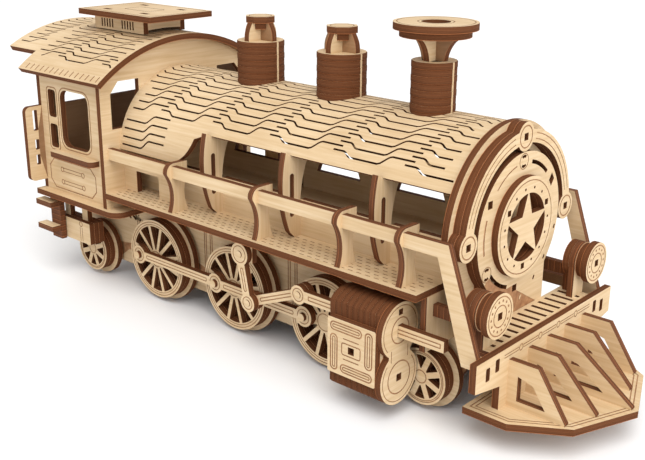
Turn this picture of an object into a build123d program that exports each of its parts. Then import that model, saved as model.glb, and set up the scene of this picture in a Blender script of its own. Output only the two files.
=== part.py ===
"""Laser-cut plywood model of a 2-6-2 steam locomotive.

Frame: +X is the front, +Y the left side, +Z up, millimetres. The origin is on
the ground, under the middle of the model. Every flat piece is one ply thick.
"""
from build123d import *
from math import asin, atan2, ceil, cos, degrees, radians, sin, sqrt
import os

os.makedirs("parts", exist_ok=True)

# ---- sheet and fits --------------------------------------------------------
ply = 3.0
running_fit = 0.08
moving_gap = 0.4
slide_gap = 0.25

# ---- overall layout --------------------------------------------------------
driver_flange_radius = 23.5
deck_top = 2 * driver_flange_radius + 13.0
deck_half_width = 51.5
deck_front = 109.0
cab_front = -89.4
cab_length = 60.6
floor_top = deck_top - 8.6
floor_half_width = 54.0
floor_front = -79.0
beam_face = 139.7
platform_top = 40.5
platform_half_width = 39.6

# ---- wheels ----------------------------------------------------------------
driver_face_radius = 21.2
driver_hub_radius = 5.5
driver_rim = 3.6
driver_spokes = 12
spoke_width = 1.9
small_flange_radius = 15.5
small_face_radius = 12.7
small_hub_radius = 4.0
small_rim = 2.6
small_spokes = 8
small_spoke_width = 2.6
middle_driver_x = -13.6
driver_pitch = 59.6
leading_x = 100.2
trailing_x = -130.3
wheel_face_y = 34.1
axle_radius = 2.5

# ---- coupling rods ---------------------------------------------------------
crank_radius = 10.0
crank_angle = 174.0
crank_pin_radius = 2.0
rod_end_radius = 5.0
rod_height = 4.6

# ---- cylinders and valve gear ----------------------------------------------
cylinder_y = 46.7
cylinder_layers = 9
cylinder_front = 98.4
lobe_radius = 12.1
upper_lobe_z = 40.5
lower_lobe_z = 19.5
waist_width = 14.0
piston_height = 5.0
piston_tail = 22.4
lever_pivot_x = 5.9
lever_pivot_z = deck_top - 9.9
lever_foot_x = 10.8
lever_foot_z = 27.2
crosshead_x = 42.9
gear_pin_radius = 1.6
gear_eye_radius = 4.4
lever_head_radius = 5.4
gear_bar = 4.6
open_pivot_gap = 0.9

# ---- frame -----------------------------------------------------------------
frame_y = 23.5
frame_bottom = 17.0
frame_rear = -150.0

# ---- boiler ----------------------------------------------------------------
boiler_z = deck_top + 19.0
shell_radius = 41.3
shell_edge_angle = 28.0
firebox_edge_angle = 4.0
firebox_front = -51.7
rib_first_x = -27.1
rib_pitch = 51.7
rib_inner_radius = 30.0
rib_shoulder_radius = 44.6
rib_waist_radius = 41.2
rib_foot_y = 37.0
rib_foot_width = 9.0
shell_front = 113.4
board_y = 30.0
board_height = 17.0
bench_y = 39.0
bench_top = deck_top + 18.6
bench_height = 7.2

# ---- smokebox front --------------------------------------------------------
back_plate_radius = 42.8
arch_radius = 40.0
arch_inner_radius = 34.4
boss_ring_radius = 37.2
boss_radius = 6.0
front_plate_radius = 31.0
saddle_half_width = 30.0
apron_half_width = 22.5
door_radius = 21.3
star_radius = 14.4

# ---- chimney and domes -----------------------------------------------------
rear_dome_x = -27.0
front_dome_x = 25.1
dome_radius = 11.5
dome_rim_z = boiler_z + 60.5
dome_cap_height = 11.5
ring_bore = 5.0
chimney_x = 76.3
chimney_radius = 9.8
chimney_column_z = boiler_z + 62.5
flare_height = 9.8
crown_radius = 17.9
crown_lower_radius = 15.2

# ---- cab -------------------------------------------------------------------
roof_radius = 90.0
roof_top = boiler_z + 57.7
roof_half_width = 55.7
roof_front_overhang = 4.8
roof_rear_x = -155.0
roof_tail_x = -181.0
roof_tail_half_width = 44.0
side_wall_y = 48.5
ear_half_width = 58.8
ear_z = boiler_z - 2.2
rear_opening_half_width = 38.0
rear_opening_z = boiler_z + 17.4
rear_opening_rim = 6.0
vent_rear = -141.8
vent_front = -99.7
vent_half_width = 13.9
lid_rear = -146.6
lid_front = -85.1
lid_half_width = 21.1
lid_top = roof_top + 10.1
sill_z = floor_top + 23.6
sill_depth = 5.5
sill_length = 37.8

# ---- handrails -------------------------------------------------------------
post_faces = (-39.3, 18.9, 68.0, 100.3)
post_head_y = 51.5
post_foot_y = 49.6
post_top = deck_top + 24.5
rail_y = 48.5
rail_top = deck_top + 23.2
rail_height = 5.8
brace_top_x = 121.5
brace_width = 6.7
brace_y = 49.5

# ---- pilot, lamps ----------------------------------------------------------
beam_half_width = 53.8
beam_top = 41.0
beam_end_height = 12.0
beam_leg_half_width = 36.5
base_top = 15.7
base_rear = 127.8
base_shoulder = 148.0
base_corner = 169.2
base_nose = 181.0
base_half_width = 43.6
base_corner_y = 30.0
blade_pitch = 14.65
blade_top = 35.6
blade_knee = 13.0
blade_tips = (165.6, 170.8, 178.6, 170.8, 165.6)
lamp_y = 38.4
lamp_z = 56.1
lamp_radius = 9.2
lamp_front = 139.0
lamp_post_width = 9.0
bracket_y = 39.6
bracket_width = 5.2
bracket_top = 58.7
arm_top = 52.8

# ---- under the cab ---------------------------------------------------------
tool_box_rear = -146.9
tool_box_length = 31.0
tool_box_height = 12.0
tool_box_top = 35.4
tool_box_y = 45.0
step_length = 14.0
step_upper_z = 45.0
step_lower_z = 31.0

# ---- worked-out values -----------------------------------------------------
deck_bottom = deck_top - ply
floor_bottom = floor_top - ply
cab_front_rear_face = cab_front - ply
cab_rear = cab_front - cab_length
cab_rear_front_face = cab_rear + ply
roof_centre_z = roof_top - roof_radius
roof_under_radius = roof_radius - ply
shell_inner_radius = shell_radius - ply
back_plate_front = shell_front + ply
front_plate_front = back_plate_front + 2 * ply
beam_rear = beam_face - ply
frame_low_top = platform_top - ply
drivers_x = [middle_driver_x + i * driver_pitch for i in (-1, 0, 1)]
rod_inner_y = wheel_face_y + moving_gap
rod_outer_y = rod_inner_y + ply
crank_pin_end_y = rod_outer_y + 1.7
gear_outer_y = cylinder_y + ply / 2
gear_inner_y = gear_outer_y - ply
link_outer_y = gear_inner_y - 0.1
link_inner_y = link_outer_y - ply
cylinder_rear = cylinder_front - (cylinder_layers + 1) * ply
cover_y = cylinder_y + lobe_radius - ply
crank_dx = crank_radius * cos(radians(crank_angle))
crank_dz = crank_radius * sin(radians(crank_angle))
piston_z = upper_lobe_z


def save(part, name):
    """Label a finished piece and write it to its own file."""
    part.label = name
    export_step(part, f"parts/{name}.step")


def across(x, z):
    """A sketch plane across the model: its origin on the middle line, its normal +X."""
    return Plane(origin=(x, 0, z), x_dir=(0, 1, 0), z_dir=(1, 0, 0))


def along(offset_right, x, z):
    """A sketch plane along the model, a distance to the right of its middle, its normal -Y."""
    return Plane(origin=(x, -offset_right, z), x_dir=(1, 0, 0), z_dir=(0, -1, 0))


def sides(inner, outer):
    """Start offsets, from Plane.XZ, of a right and a left plate between two distances."""
    return (inner, -outer)


def bar_outline(start, end, height):
    """A straight bar between two points of the current sketch, joined to it."""
    (x1, z1), (x2, z2) = start, end
    length = sqrt((x2 - x1) ** 2 + (z2 - z1) ** 2)
    tilt = degrees(atan2(z2 - z1, x2 - x1))
    with Locations(Location(((x1 + x2) / 2, (z1 + z2) / 2, 0), (0, 0, tilt))):
        Rectangle(length, height)


def roof_z(y, radius):
    """Height of the roof's arc of the given radius at a distance y from the middle."""
    return roof_centre_z + sqrt(radius**2 - y**2)


def arc_sector(inner, outer, half_angle):
    """A ring sector about +Z of the current sketch, centred on its origin."""
    left = 90 + half_angle
    with BuildLine() as sector:
        upper = CenterArc((0, 0), outer, left, -2 * half_angle)
        lower = CenterArc((0, 0), inner, left, -2 * half_angle)
        Line(upper @ 0, lower @ 0)
        Line(upper @ 1, lower @ 1)
    make_face(sector.edges())


# ---- deck and cab floor ----------------------------------------------------
with BuildPart() as deck:
    with BuildSketch(Plane.XY.offset(deck_bottom)):
        with Locations(((cab_front + deck_front) / 2, 0)):
            Rectangle(deck_front - cab_front, 2 * deck_half_width)
    extrude(amount=ply)
save(deck.part, "deck")

with BuildPart() as cab_floor:
    with BuildSketch(Plane.XY.offset(floor_bottom)) as floor_outline:
        with Locations(((cab_rear + floor_front) / 2, 0)):
            Rectangle(floor_front - cab_rear, 2 * floor_half_width)
        fillet(floor_outline.vertices().group_by(Axis.X)[-1], 7)
    extrude(amount=ply)
save(cab_floor.part, "cab_floor")


# ---- cab walls -------------------------------------------------------------
def wall_outline(half_width, bottom, rim=0.0, mode=Mode.ADD):
    """Straight sides and a top that keeps a rim's distance under the roof."""
    edge_z = roof_z(half_width, roof_under_radius - rim)
    peak_z = roof_centre_z + roof_under_radius - rim
    with BuildLine() as wall:
        Polyline((-half_width, edge_z), (-half_width, bottom), (half_width, bottom), (half_width, edge_z))
        ThreePointArc((half_width, edge_z), (0, peak_z), (-half_width, edge_z))
    make_face(wall.edges(), mode=mode)


window_bottom = boiler_z + 13.4
window_outer_y = deck_half_width - 6.5
window_inner_y = 27.0
with BuildPart() as cab_front_wall:
    with BuildSketch(Plane.YZ.offset(cab_front_rear_face)):
        wall_outline(deck_half_width, floor_top)
        for side in (-1, 1):
            with BuildLine():
                Polyline(
                    (side * window_inner_y, window_bottom),
                    (side * window_outer_y, window_bottom),
                    (side * window_outer_y, window_bottom + 18),
                    (side * (window_outer_y - 5), window_bottom + 24),
                    (side * window_inner_y, window_bottom + 24),
                    close=True,
                )
            make_face(mode=Mode.SUBTRACT)
    extrude(amount=ply)
save(cab_front_wall.part, "cab_front_wall")

with BuildPart() as cab_rear_wall:
    with BuildSketch(Plane.YZ.offset(cab_rear)):
        wall_outline(side_wall_y, floor_top)
        wall_outline(rear_opening_half_width, rear_opening_z, rear_opening_rim, Mode.SUBTRACT)
        for side in (-1, 1):
            ear_width = ear_half_width - side_wall_y + 6
            with Locations((side * (ear_half_width - ear_width / 2), ear_z)):
                RectangleRounded(ear_width, 41, 3)
            slot_y = side * (side_wall_y + 4.6)
            with Locations((slot_y, ear_z + 12.8)):
                Rectangle(2.8, 11.2, mode=Mode.SUBTRACT)
            with Locations((slot_y, ear_z - 0.5), (slot_y, ear_z - 8.9)):
                Rectangle(2.4, 5.6, mode=Mode.SUBTRACT)
    extrude(amount=ply)
save(cab_rear_wall.part, "cab_rear_wall")

wall_top = roof_z(side_wall_y, roof_under_radius)
wall_front = cab_front_rear_face
window_front = wall_front - 12.0
window_rear = window_front - 24.6
pane_front = window_rear - 4.2
pane_width = 6.8
with BuildPart() as cab_side_walls:
    for start in sides(side_wall_y - ply, side_wall_y):
        with BuildSketch(Plane.XZ.offset(start)):
            with Locations(((cab_rear_front_face + wall_front) / 2, (floor_top + wall_top) / 2)):
                Rectangle(wall_front - cab_rear_front_face, wall_top - floor_top)
            with Locations(((window_front + window_rear) / 2, sill_z + 18)):
                RectangleRounded(window_front - window_rear, 30.5, 5, mode=Mode.SUBTRACT)
            with Locations((pane_front - pane_width / 2, sill_z + 24.8)):
                RectangleRounded(pane_width, 14.8, 1.5, mode=Mode.SUBTRACT)
            with Locations((pane_front - pane_width / 2, sill_z + 7.2)):
                RectangleRounded(pane_width, 12.9, 1.5, mode=Mode.SUBTRACT)
        extrude(amount=ply)
save(cab_side_walls.part, "cab_side_walls")

with BuildPart() as cab_window_sills:
    for side in (-1, 1):
        with BuildSketch(Plane.XY.offset(sill_z - ply)) as sill_outline:
            sill_middle = (window_rear + window_front) / 2
            with Locations((sill_middle, side * (side_wall_y + sill_depth / 2))):
                Rectangle(sill_length, sill_depth)
            far_side = Axis.Y if side > 0 else Axis(origin=(0, 0, 0), direction=(0, -1, 0))
            fillet(sill_outline.vertices().group_by(far_side)[-1], 3)
        extrude(amount=ply)
save(cab_window_sills.part, "cab_window_sills")

# ---- cab roof --------------------------------------------------------------
roof_front = cab_front + roof_front_overhang
with BuildPart() as cab_roof:
    with BuildSketch(across(roof_rear_x, roof_centre_z)):
        arc_sector(roof_under_radius, roof_radius, degrees(asin(roof_half_width / roof_radius)))
    extrude(amount=roof_front - roof_rear_x)
    with BuildSketch(across(roof_tail_x, roof_centre_z)):
        arc_sector(roof_under_radius, roof_radius, degrees(asin(roof_tail_half_width / roof_radius)))
    extrude(amount=roof_rear_x - roof_tail_x)
save(cab_roof.part, "cab_roof")

lid_bottom = lid_top - ply
vent_foot_z = roof_z(vent_half_width, roof_radius) - ply
with BuildPart() as roof_vent_box:
    for start in sides(vent_half_width - ply, vent_half_width):
        with BuildSketch(Plane.XZ.offset(start)):
            with Locations(((vent_rear + vent_front) / 2, (vent_foot_z + lid_bottom) / 2)):
                Rectangle(vent_front - vent_rear, lid_bottom - vent_foot_z)
            louvre_z = (vent_foot_z + ply + lid_bottom) / 2
            with Locations((vent_rear + 10.5, louvre_z), (vent_front - 14, louvre_z)):
                with GridLocations(2.3, 1, 5, 1):
                    Rectangle(1.1, 4.6, mode=Mode.SUBTRACT)
        extrude(amount=ply)
    for wall_x in (vent_rear, vent_front - ply):
        with BuildSketch(Plane.YZ.offset(wall_x)):
            with Locations((0, (vent_foot_z + lid_bottom) / 2)):
                Rectangle(2 * (vent_half_width - ply), lid_bottom - vent_foot_z)
        extrude(amount=ply)
    with BuildSketch(across(roof_tail_x, roof_centre_z)):
        Circle(roof_radius)
    extrude(amount=roof_front - roof_tail_x, mode=Mode.SUBTRACT)
save(roof_vent_box.part, "roof_vent_box")

with BuildPart() as roof_vent_lid:
    with BuildSketch(Plane.XY.offset(lid_bottom)):
        with Locations(((lid_rear + lid_front) / 2, 0)):
            Rectangle(lid_front - lid_rear, 2 * lid_half_width)
    extrude(amount=ply)
save(roof_vent_lid.part, "roof_vent_lid")

# ---- boiler ----------------------------------------------------------------
boiler_plane = across(cab_front, boiler_z)
with BuildPart() as boiler_shell:
    with BuildSketch(boiler_plane):
        arc_sector(shell_inner_radius, shell_radius, 90 - shell_edge_angle)
    extrude(amount=shell_front - cab_front)
    with BuildSketch(boiler_plane):
        arc_sector(shell_inner_radius, shell_radius, 90 - firebox_edge_angle)
    extrude(amount=rib_first_x - cab_front)
    arch_height = shell_radius * (sin(radians(shell_edge_angle)) - sin(radians(firebox_edge_angle)))
    arch_length = rib_first_x - firebox_front
    with BuildSketch(Plane.XZ.offset(-shell_radius)):
        with BuildLine():
            low_z = boiler_z - shell_radius
            high_z = boiler_z + shell_radius * sin(radians(shell_edge_angle))
            Polyline((rib_first_x, high_z), (rib_first_x, low_z), (firebox_front, low_z))
            Line((firebox_front, low_z), (firebox_front, high_z - arch_height))
            RadiusArc((firebox_front, high_z - arch_height), (rib_first_x, high_z), 1.12 * arch_length)
        make_face()
    extrude(amount=2 * shell_radius, mode=Mode.SUBTRACT)
save(boiler_shell.part, "boiler_shell")

with BuildPart() as boiler_ribs:
    edge = radians(shell_edge_angle)
    for i in range(3):
        rib_x = rib_first_x + i * rib_pitch
        with BuildSketch(across(rib_x, boiler_z)):
            arc_sector(rib_inner_radius, shell_inner_radius, 90 - shell_edge_angle)
            for side in (-1, 1):
                foot_z = deck_top - boiler_z
                inner_top = (side * rib_inner_radius * cos(edge), rib_inner_radius * sin(edge))
                shoulder = (side * rib_shoulder_radius * cos(edge), rib_shoulder_radius * sin(edge))
                outer_foot = (side * rib_foot_y, foot_z + 3)
                inner_foot = (side * (rib_foot_y - rib_foot_width), foot_z)
                with BuildLine():
                    Line(inner_top, shoulder)
                    Spline(shoulder, (side * rib_waist_radius, 0), outer_foot)
                    Line(outer_foot, (side * (rib_foot_y - 3), foot_z))
                    Line((side * (rib_foot_y - 3), foot_z), inner_foot)
                    Spline(inner_foot, (side * rib_inner_radius, 0), inner_top)
                make_face()
                with Locations((side * (rib_inner_radius + 5.6), 1)):
                    SlotOverall(20, 2.6, rotation=90, mode=Mode.SUBTRACT)
        extrude(amount=ply)
save(boiler_ribs.part, "boiler_ribs")

with BuildPart() as boiler_side_boards:
    rib_faces = [rib_first_x + i * rib_pitch for i in range(3)]
    bays = list(zip([cab_front] + [x + ply for x in rib_faces], rib_faces + [shell_front]))
    for start in sides(board_y - ply, board_y):
        for bay_rear, bay_front in bays:
            bay_length = bay_front - bay_rear
            with BuildSketch(Plane.XZ.offset(start)):
                with Locations(((bay_rear + bay_front) / 2, deck_top + board_height / 2)):
                    Rectangle(bay_length, board_height)
                with Locations(((bay_rear + bay_front) / 2, deck_top + board_height - 4)):
                    Trapezoid(0.6 * bay_length, 5, 70, mode=Mode.SUBTRACT)
            extrude(amount=ply)
    for start in sides(bench_y - ply, bench_y):
        with BuildSketch(Plane.XZ.offset(start)):
            bench_length = firebox_front - cab_front
            with Locations((cab_front + bench_length / 2, bench_top - bench_height / 2)):
                Rectangle(bench_length, bench_height)
            leg_z = (deck_top + bench_top) / 2
            with Locations((cab_front + 5, leg_z), (firebox_front - 5, leg_z)):
                Rectangle(10, bench_top - deck_top)
        extrude(amount=ply)
save(boiler_side_boards.part, "boiler_side_boards")

# ---- smokebox front --------------------------------------------------------
plate_foot_z = frame_low_top - boiler_z
with BuildPart() as smokebox_back_plate:
    with BuildSketch(across(shell_front, boiler_z)):
        Circle(back_plate_radius)
        with Locations((0, plate_foot_z / 2)):
            Rectangle(2 * saddle_half_width, -plate_foot_z)
    extrude(amount=ply)
save(smokebox_back_plate.part, "smokebox_back_plate")

with BuildPart() as smokebox_arch:
    with BuildSketch(across(back_plate_front, boiler_z)):
        arc_sector(arch_inner_radius, arch_radius, 90)
        with PolarLocations(boss_ring_radius, 3, 0, 180, endpoint=True):
            Circle(boss_radius)
            Rectangle(3, 3, mode=Mode.SUBTRACT)
    extrude(amount=2 * ply)
save(smokebox_arch.part, "smokebox_arch")

with BuildPart() as smokebox_front_plate:
    with BuildSketch(across(back_plate_front, boiler_z)):
        Circle(front_plate_radius)
        with Locations((0, plate_foot_z / 2)):
            Rectangle(2 * apron_half_width, -plate_foot_z)
        Circle(star_radius, mode=Mode.SUBTRACT)
        for middle in (61, 236):
            with BuildLine(mode=Mode.PRIVATE) as slot_line:
                CenterArc((0, 0), (door_radius + front_plate_radius) / 2, middle - 15, 30)
            SlotArc(slot_line.edge(), 1.8, mode=Mode.SUBTRACT)
    extrude(amount=2 * ply)
save(smokebox_front_plate.part, "smokebox_front_plate")


def star_points(outer, inner):
    """The ten corners of a five-pointed star, point up."""
    radii = [outer, inner] * 5
    return [(r * sin(radians(36 * i)), r * cos(radians(36 * i))) for i, r in enumerate(radii)]


with BuildPart() as smokebox_door:
    with BuildSketch(across(front_plate_front, boiler_z)):
        Circle(door_radius)
        Circle(star_radius, mode=Mode.SUBTRACT)
        Polygon(*star_points(star_radius + 0.4, 0.43 * star_radius), align=None)
        with PolarLocations((star_radius + door_radius) / 2, 15, start_angle=3):
            Circle(0.6, mode=Mode.SUBTRACT)
    extrude(amount=ply)
save(smokebox_door.part, "smokebox_door")


# ---- domes and chimney -----------------------------------------------------
def ring_stack(part_x, radius, top_z, bore):
    """Stacked rings down to the boiler, the lowest cut to sit on it."""
    saddle_z = boiler_z + sqrt(shell_radius**2 - radius**2)
    for i in range(ceil((top_z - saddle_z) / ply)):
        with BuildSketch(Plane.XY.offset(top_z - (i + 1) * ply)) as ring:
            with Locations((part_x, 0)):
                Circle(radius)
                Circle(bore, mode=Mode.SUBTRACT)
        extrude(ring.sketch, amount=ply)
    with BuildSketch(across(part_x - radius, boiler_z)) as boiler:
        Circle(shell_radius)
    extrude(boiler.sketch, amount=2 * radius, mode=Mode.SUBTRACT)


with BuildPart() as dome_rings:
    for dome_x in (rear_dome_x, front_dome_x):
        ring_stack(dome_x, dome_radius, dome_rim_z, ring_bore)
save(dome_rings.part, "dome_rings")

cap_half = dome_radius - 2.2
cap_top_half = cap_half - 2.4
cap_arch_z = dome_rim_z + dome_cap_height - ply
with BuildPart() as dome_caps:
    for dome_x in (rear_dome_x, front_dome_x):
        arch_planes = (along(-ply / 2, dome_x, 0), Plane.YZ.offset(dome_x - ply / 2))
        for arch_plane in arch_planes:
            with BuildSketch(arch_plane):
                with BuildLine():
                    Polyline((cap_top_half, cap_arch_z), (-cap_top_half, cap_arch_z))
                    shoulder_z = (dome_rim_z + cap_arch_z) / 2
                    bulge = cap_half - 0.6
                    ThreePointArc((-cap_top_half, cap_arch_z), (-bulge, shoulder_z), (-cap_half, dome_rim_z))
                    Line((-cap_half, dome_rim_z), (cap_half, dome_rim_z))
                    ThreePointArc((cap_half, dome_rim_z), (bulge, shoulder_z), (cap_top_half, cap_arch_z))
                make_face()
            extrude(amount=ply)
        with BuildSketch(Plane.XY.offset(cap_arch_z)):
            with Locations((dome_x, 0)):
                RegularPolygon(cap_top_half + 0.8, 8, rotation=22.5)
        extrude(amount=ply)
save(dome_caps.part, "dome_caps")

with BuildPart() as chimney_rings:
    ring_stack(chimney_x, chimney_radius, chimney_column_z, ring_bore)
save(chimney_rings.part, "chimney_rings")

flare_top_z = chimney_column_z + flare_height
flare_foot = chimney_radius - 4.0
flare_top_half = crown_lower_radius - 2.0
with BuildPart() as chimney_flare:
    for flare_plane in (along(-ply / 2, chimney_x, 0), Plane.YZ.offset(chimney_x - ply / 2)):
        with BuildSketch(flare_plane):
            with BuildLine():
                Line((-flare_foot, chimney_column_z), (flare_foot, chimney_column_z))
                RadiusArc((flare_foot, chimney_column_z), (flare_top_half, flare_top_z), 1.4 * flare_height)
                Line((flare_top_half, flare_top_z), (-flare_top_half, flare_top_z))
                RadiusArc((-flare_top_half, flare_top_z), (-flare_foot, chimney_column_z), 1.4 * flare_height)
            make_face()
        extrude(amount=ply)
save(chimney_flare.part, "chimney_flare")

with BuildPart() as chimney_crown:
    for disc_z, disc_radius in ((flare_top_z, crown_lower_radius), (flare_top_z + ply, crown_radius)):
        with BuildSketch(Plane.XY.offset(disc_z)):
            with Locations((chimney_x, 0)):
                Circle(disc_radius)
                Circle(ring_bore, mode=Mode.SUBTRACT)
        extrude(amount=ply)
save(chimney_crown.part, "chimney_crown")

# ---- handrails and braces --------------------------------------------------
rail_inner_y = rail_y - ply
with BuildPart() as handrail_posts:
    post_inner_head = post_head_y - 12.5
    post_inner_foot = post_foot_y - 10.5
    post_mid_z = (deck_top + post_top) / 2
    for post_x in post_faces:
        with BuildSketch(Plane.YZ.offset(post_x - ply)):
            for side in (-1, 1):
                with BuildLine():
                    Line((side * post_inner_foot, deck_top), (side * post_foot_y, deck_top))
                    outer_low = (side * post_foot_y, deck_top)
                    outer_mid = (side * (post_foot_y - 1.6), post_mid_z - 2)
                    outer_high = (side * post_head_y, post_top - 5)
                    Spline(outer_low, outer_mid, outer_high)
                    ThreePointArc(
                        outer_high,
                        (side * (post_head_y - 1.2), post_top - 1.3),
                        (side * (post_head_y - 4), post_top),
                    )
                    Line((side * (post_head_y - 4), post_top), (side * post_inner_head, post_top))
                    Line((side * post_inner_head, post_top), (side * post_inner_head, post_top - 6))
                    Spline(
                        (side * post_inner_head, post_top - 6),
                        (side * (post_inner_foot + 2.2), post_mid_z - 3),
                        (side * post_inner_foot, deck_top),
                    )
                make_face()
        extrude(amount=ply)
save(handrail_posts.part, "handrail_posts")

with BuildPart() as handrails:
    spans = zip((cab_front,) + post_faces[:-1], [x - ply for x in post_faces])
    for span_rear, span_front in spans:
        for start in sides(rail_inner_y, rail_y):
            with BuildSketch(Plane.XZ.offset(start)):
                with Locations(((span_rear + span_front) / 2, rail_top - rail_height / 2)):
                    Rectangle(span_front - span_rear, rail_height)
            extrude(amount=ply)
save(handrails.part, "handrails")

brace_drop = (beam_rear - brace_top_x) / (rail_top - platform_top)
brace_foot_z = beam_top - 5
with BuildPart() as front_braces:
    for start in sides(brace_y - ply, brace_y):
        with BuildSketch(Plane.XZ.offset(start)):
            with BuildLine():
                Polyline(
                    (post_faces[-1], rail_top),
                    (brace_top_x, rail_top),
                    (beam_rear, platform_top),
                    (beam_rear, brace_foot_z),
                    (beam_rear - brace_width, brace_foot_z),
                    (brace_top_x - brace_width + rail_height * brace_drop, rail_top - rail_height),
                    (post_faces[-1], rail_top - rail_height),
                    close=True,
                )
            make_face()
        extrude(amount=ply)
save(front_braces.part, "front_braces")

# ---- main frame ------------------------------------------------------------
frame_inner_y = frame_y - ply
axle_places = [(x, driver_flange_radius) for x in drivers_x]
axle_places += [(leading_x, small_flange_radius), (trailing_x, small_flange_radius)]
frame_axle_bottom = 9.0
with BuildPart() as frame_side_plates:
    for start in sides(frame_inner_y, frame_y):
        with BuildSketch(Plane.XZ.offset(start)):
            with BuildLine():
                Polyline(
                    (frame_rear, floor_bottom),
                    (frame_rear, frame_bottom + 8),
                    (trailing_x - 9, frame_axle_bottom),
                    (trailing_x + 9, frame_axle_bottom),
                    (trailing_x + 20, frame_bottom),
                    (leading_x - 18, frame_bottom),
                    (leading_x - 9, frame_axle_bottom),
                    (leading_x + 9, frame_axle_bottom),
                    (leading_x + 16, frame_bottom + 4),
                    (beam_rear, frame_bottom + 8),
                    (beam_rear, frame_low_top),
                    (deck_front, frame_low_top),
                    (deck_front, deck_bottom),
                    (floor_front, deck_bottom),
                    (floor_front, floor_bottom),
                    close=True,
                )
            make_face()
            with Locations(*axle_places):
                Circle(axle_radius + running_fit, mode=Mode.SUBTRACT)
            for x in drivers_x:
                for side in (-1, 1):
                    with Locations((x + side * driver_pitch / 3, deck_bottom - 5)):
                        Rectangle(9, 4, mode=Mode.SUBTRACT)
            for i in range(4):
                with Locations((trailing_x + 14 + 4.5 * i, floor_bottom - 9)):
                    SlotOverall(12, 1.6, rotation=-35, mode=Mode.SUBTRACT)
        extrude(amount=ply)
save(frame_side_plates.part, "frame_side_plates")

cross_places = [(trailing_x + drivers_x[0]) / 2] + [x + driver_pitch / 2 for x in drivers_x[:2]]
with BuildPart() as frame_cross_plates:
    for x in cross_places:
        top = floor_bottom if x < floor_front else deck_bottom
        with BuildSketch(Plane.YZ.offset(x - ply / 2)):
            with Locations((0, (frame_bottom + 6 + top) / 2)):
                Rectangle(2 * frame_inner_y, top - frame_bottom - 6)
        extrude(amount=ply)
    for side in (-1, 1):
        front_wing = 44.0 - frame_y
        with BuildSketch(Plane.YZ.offset(deck_front - ply)):
            with Locations((side * (frame_y + front_wing / 2), (33 + deck_bottom) / 2)):
                Rectangle(front_wing, deck_bottom - 33)
        extrude(amount=ply)
save(frame_cross_plates.part, "frame_cross_plates")


# ---- cylinders -------------------------------------------------------------
def cylinder_outline(y):
    """Two round lobes joined by a waist, one for the valve, one below."""
    with Locations((y, upper_lobe_z), (y, lower_lobe_z)):
        Circle(lobe_radius)
    with Locations((y, (upper_lobe_z + lower_lobe_z) / 2)):
        Rectangle(waist_width, upper_lobe_z - lower_lobe_z)


def piston_slot(y):
    """The guide slot that the piston rod slides in."""
    with Locations((y, piston_z)):
        Rectangle(ply + 2 * slide_gap, piston_height + 2 * slide_gap, mode=Mode.SUBTRACT)


arm_layer = 3
with BuildPart() as cylinder_blocks:
    for i in range(cylinder_layers):
        for side in (-1, 1):
            y = side * cylinder_y
            with BuildSketch(Plane.YZ.offset(cylinder_rear + i * ply)):
                cylinder_outline(y)
                block_width = cover_y - cylinder_y + waist_width / 2
                with Locations((side * (cover_y - block_width / 2), (upper_lobe_z + lower_lobe_z) / 2)):
                    Rectangle(block_width, upper_lobe_z - lower_lobe_z + 4)
                if i == arm_layer:
                    arm_length = cylinder_y - frame_y
                    with Locations((side * (frame_y + arm_length / 2), (upper_lobe_z + deck_bottom) / 2)):
                        Rectangle(arm_length, deck_bottom - upper_lobe_z)
                with Locations((side * (cover_y + lobe_radius), (upper_lobe_z + lower_lobe_z) / 2)):
                    Rectangle(2 * lobe_radius, 4 * lobe_radius + 40, mode=Mode.SUBTRACT)
                piston_slot(y)
            extrude(amount=ply)
save(cylinder_blocks.part, "cylinder_blocks")

with BuildPart() as cylinder_end_plates:
    for side in (-1, 1):
        with BuildSketch(Plane.YZ.offset(cylinder_front - ply)):
            cylinder_outline(side * cylinder_y)
            with Locations((side * cylinder_y, lower_lobe_z)):
                Rectangle(3, 3, mode=Mode.SUBTRACT)
            piston_slot(side * cylinder_y)
        extrude(amount=ply)
save(cylinder_end_plates.part, "cylinder_end_plates")

cover_length = cylinder_layers * ply - 1.5
with BuildPart() as cylinder_covers:
    for start in sides(cover_y, cover_y + ply):
        with BuildSketch(Plane.XZ.offset(start)):
            with Locations((cylinder_front - ply - cover_length / 2, (upper_lobe_z + lower_lobe_z) / 2)):
                Rectangle(cover_length, upper_lobe_z - lower_lobe_z + 4)
                Rectangle(3, 3, mode=Mode.SUBTRACT)
        extrude(amount=ply)
save(cylinder_covers.part, "cylinder_covers")

# ---- pilot -----------------------------------------------------------------
with BuildPart() as pilot_beam:
    with BuildSketch(Plane.YZ.offset(beam_rear)):
        with BuildLine():
            Polyline(
                (-beam_half_width, beam_top),
                (-beam_half_width, beam_top - beam_end_height),
                (-beam_leg_half_width, beam_top - beam_end_height - 3),
                (-beam_leg_half_width, base_top),
                (beam_leg_half_width, base_top),
                (beam_leg_half_width, beam_top - beam_end_height - 3),
                (beam_half_width, beam_top - beam_end_height),
                (beam_half_width, beam_top),
                close=True,
            )
        make_face()
        for side in (-1, 1):
            with Locations((side * 45.5, 35), (side * 38.5, 35)):
                Rectangle(3, 6, mode=Mode.SUBTRACT)
    extrude(amount=ply)
save(pilot_beam.part, "pilot_beam")

with BuildPart() as pilot_base:
    with BuildSketch(Plane.XY.offset(base_top - ply)):
        with BuildLine():
            Polyline(
                (base_rear, -base_half_width),
                (base_shoulder, -base_half_width),
                (base_corner, -base_corner_y),
                (base_nose, 0),
                (base_corner, base_corner_y),
                (base_shoulder, base_half_width),
                (base_rear, base_half_width),
                close=True,
            )
        make_face()
    extrude(amount=ply)
save(pilot_base.part, "pilot_base")

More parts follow.
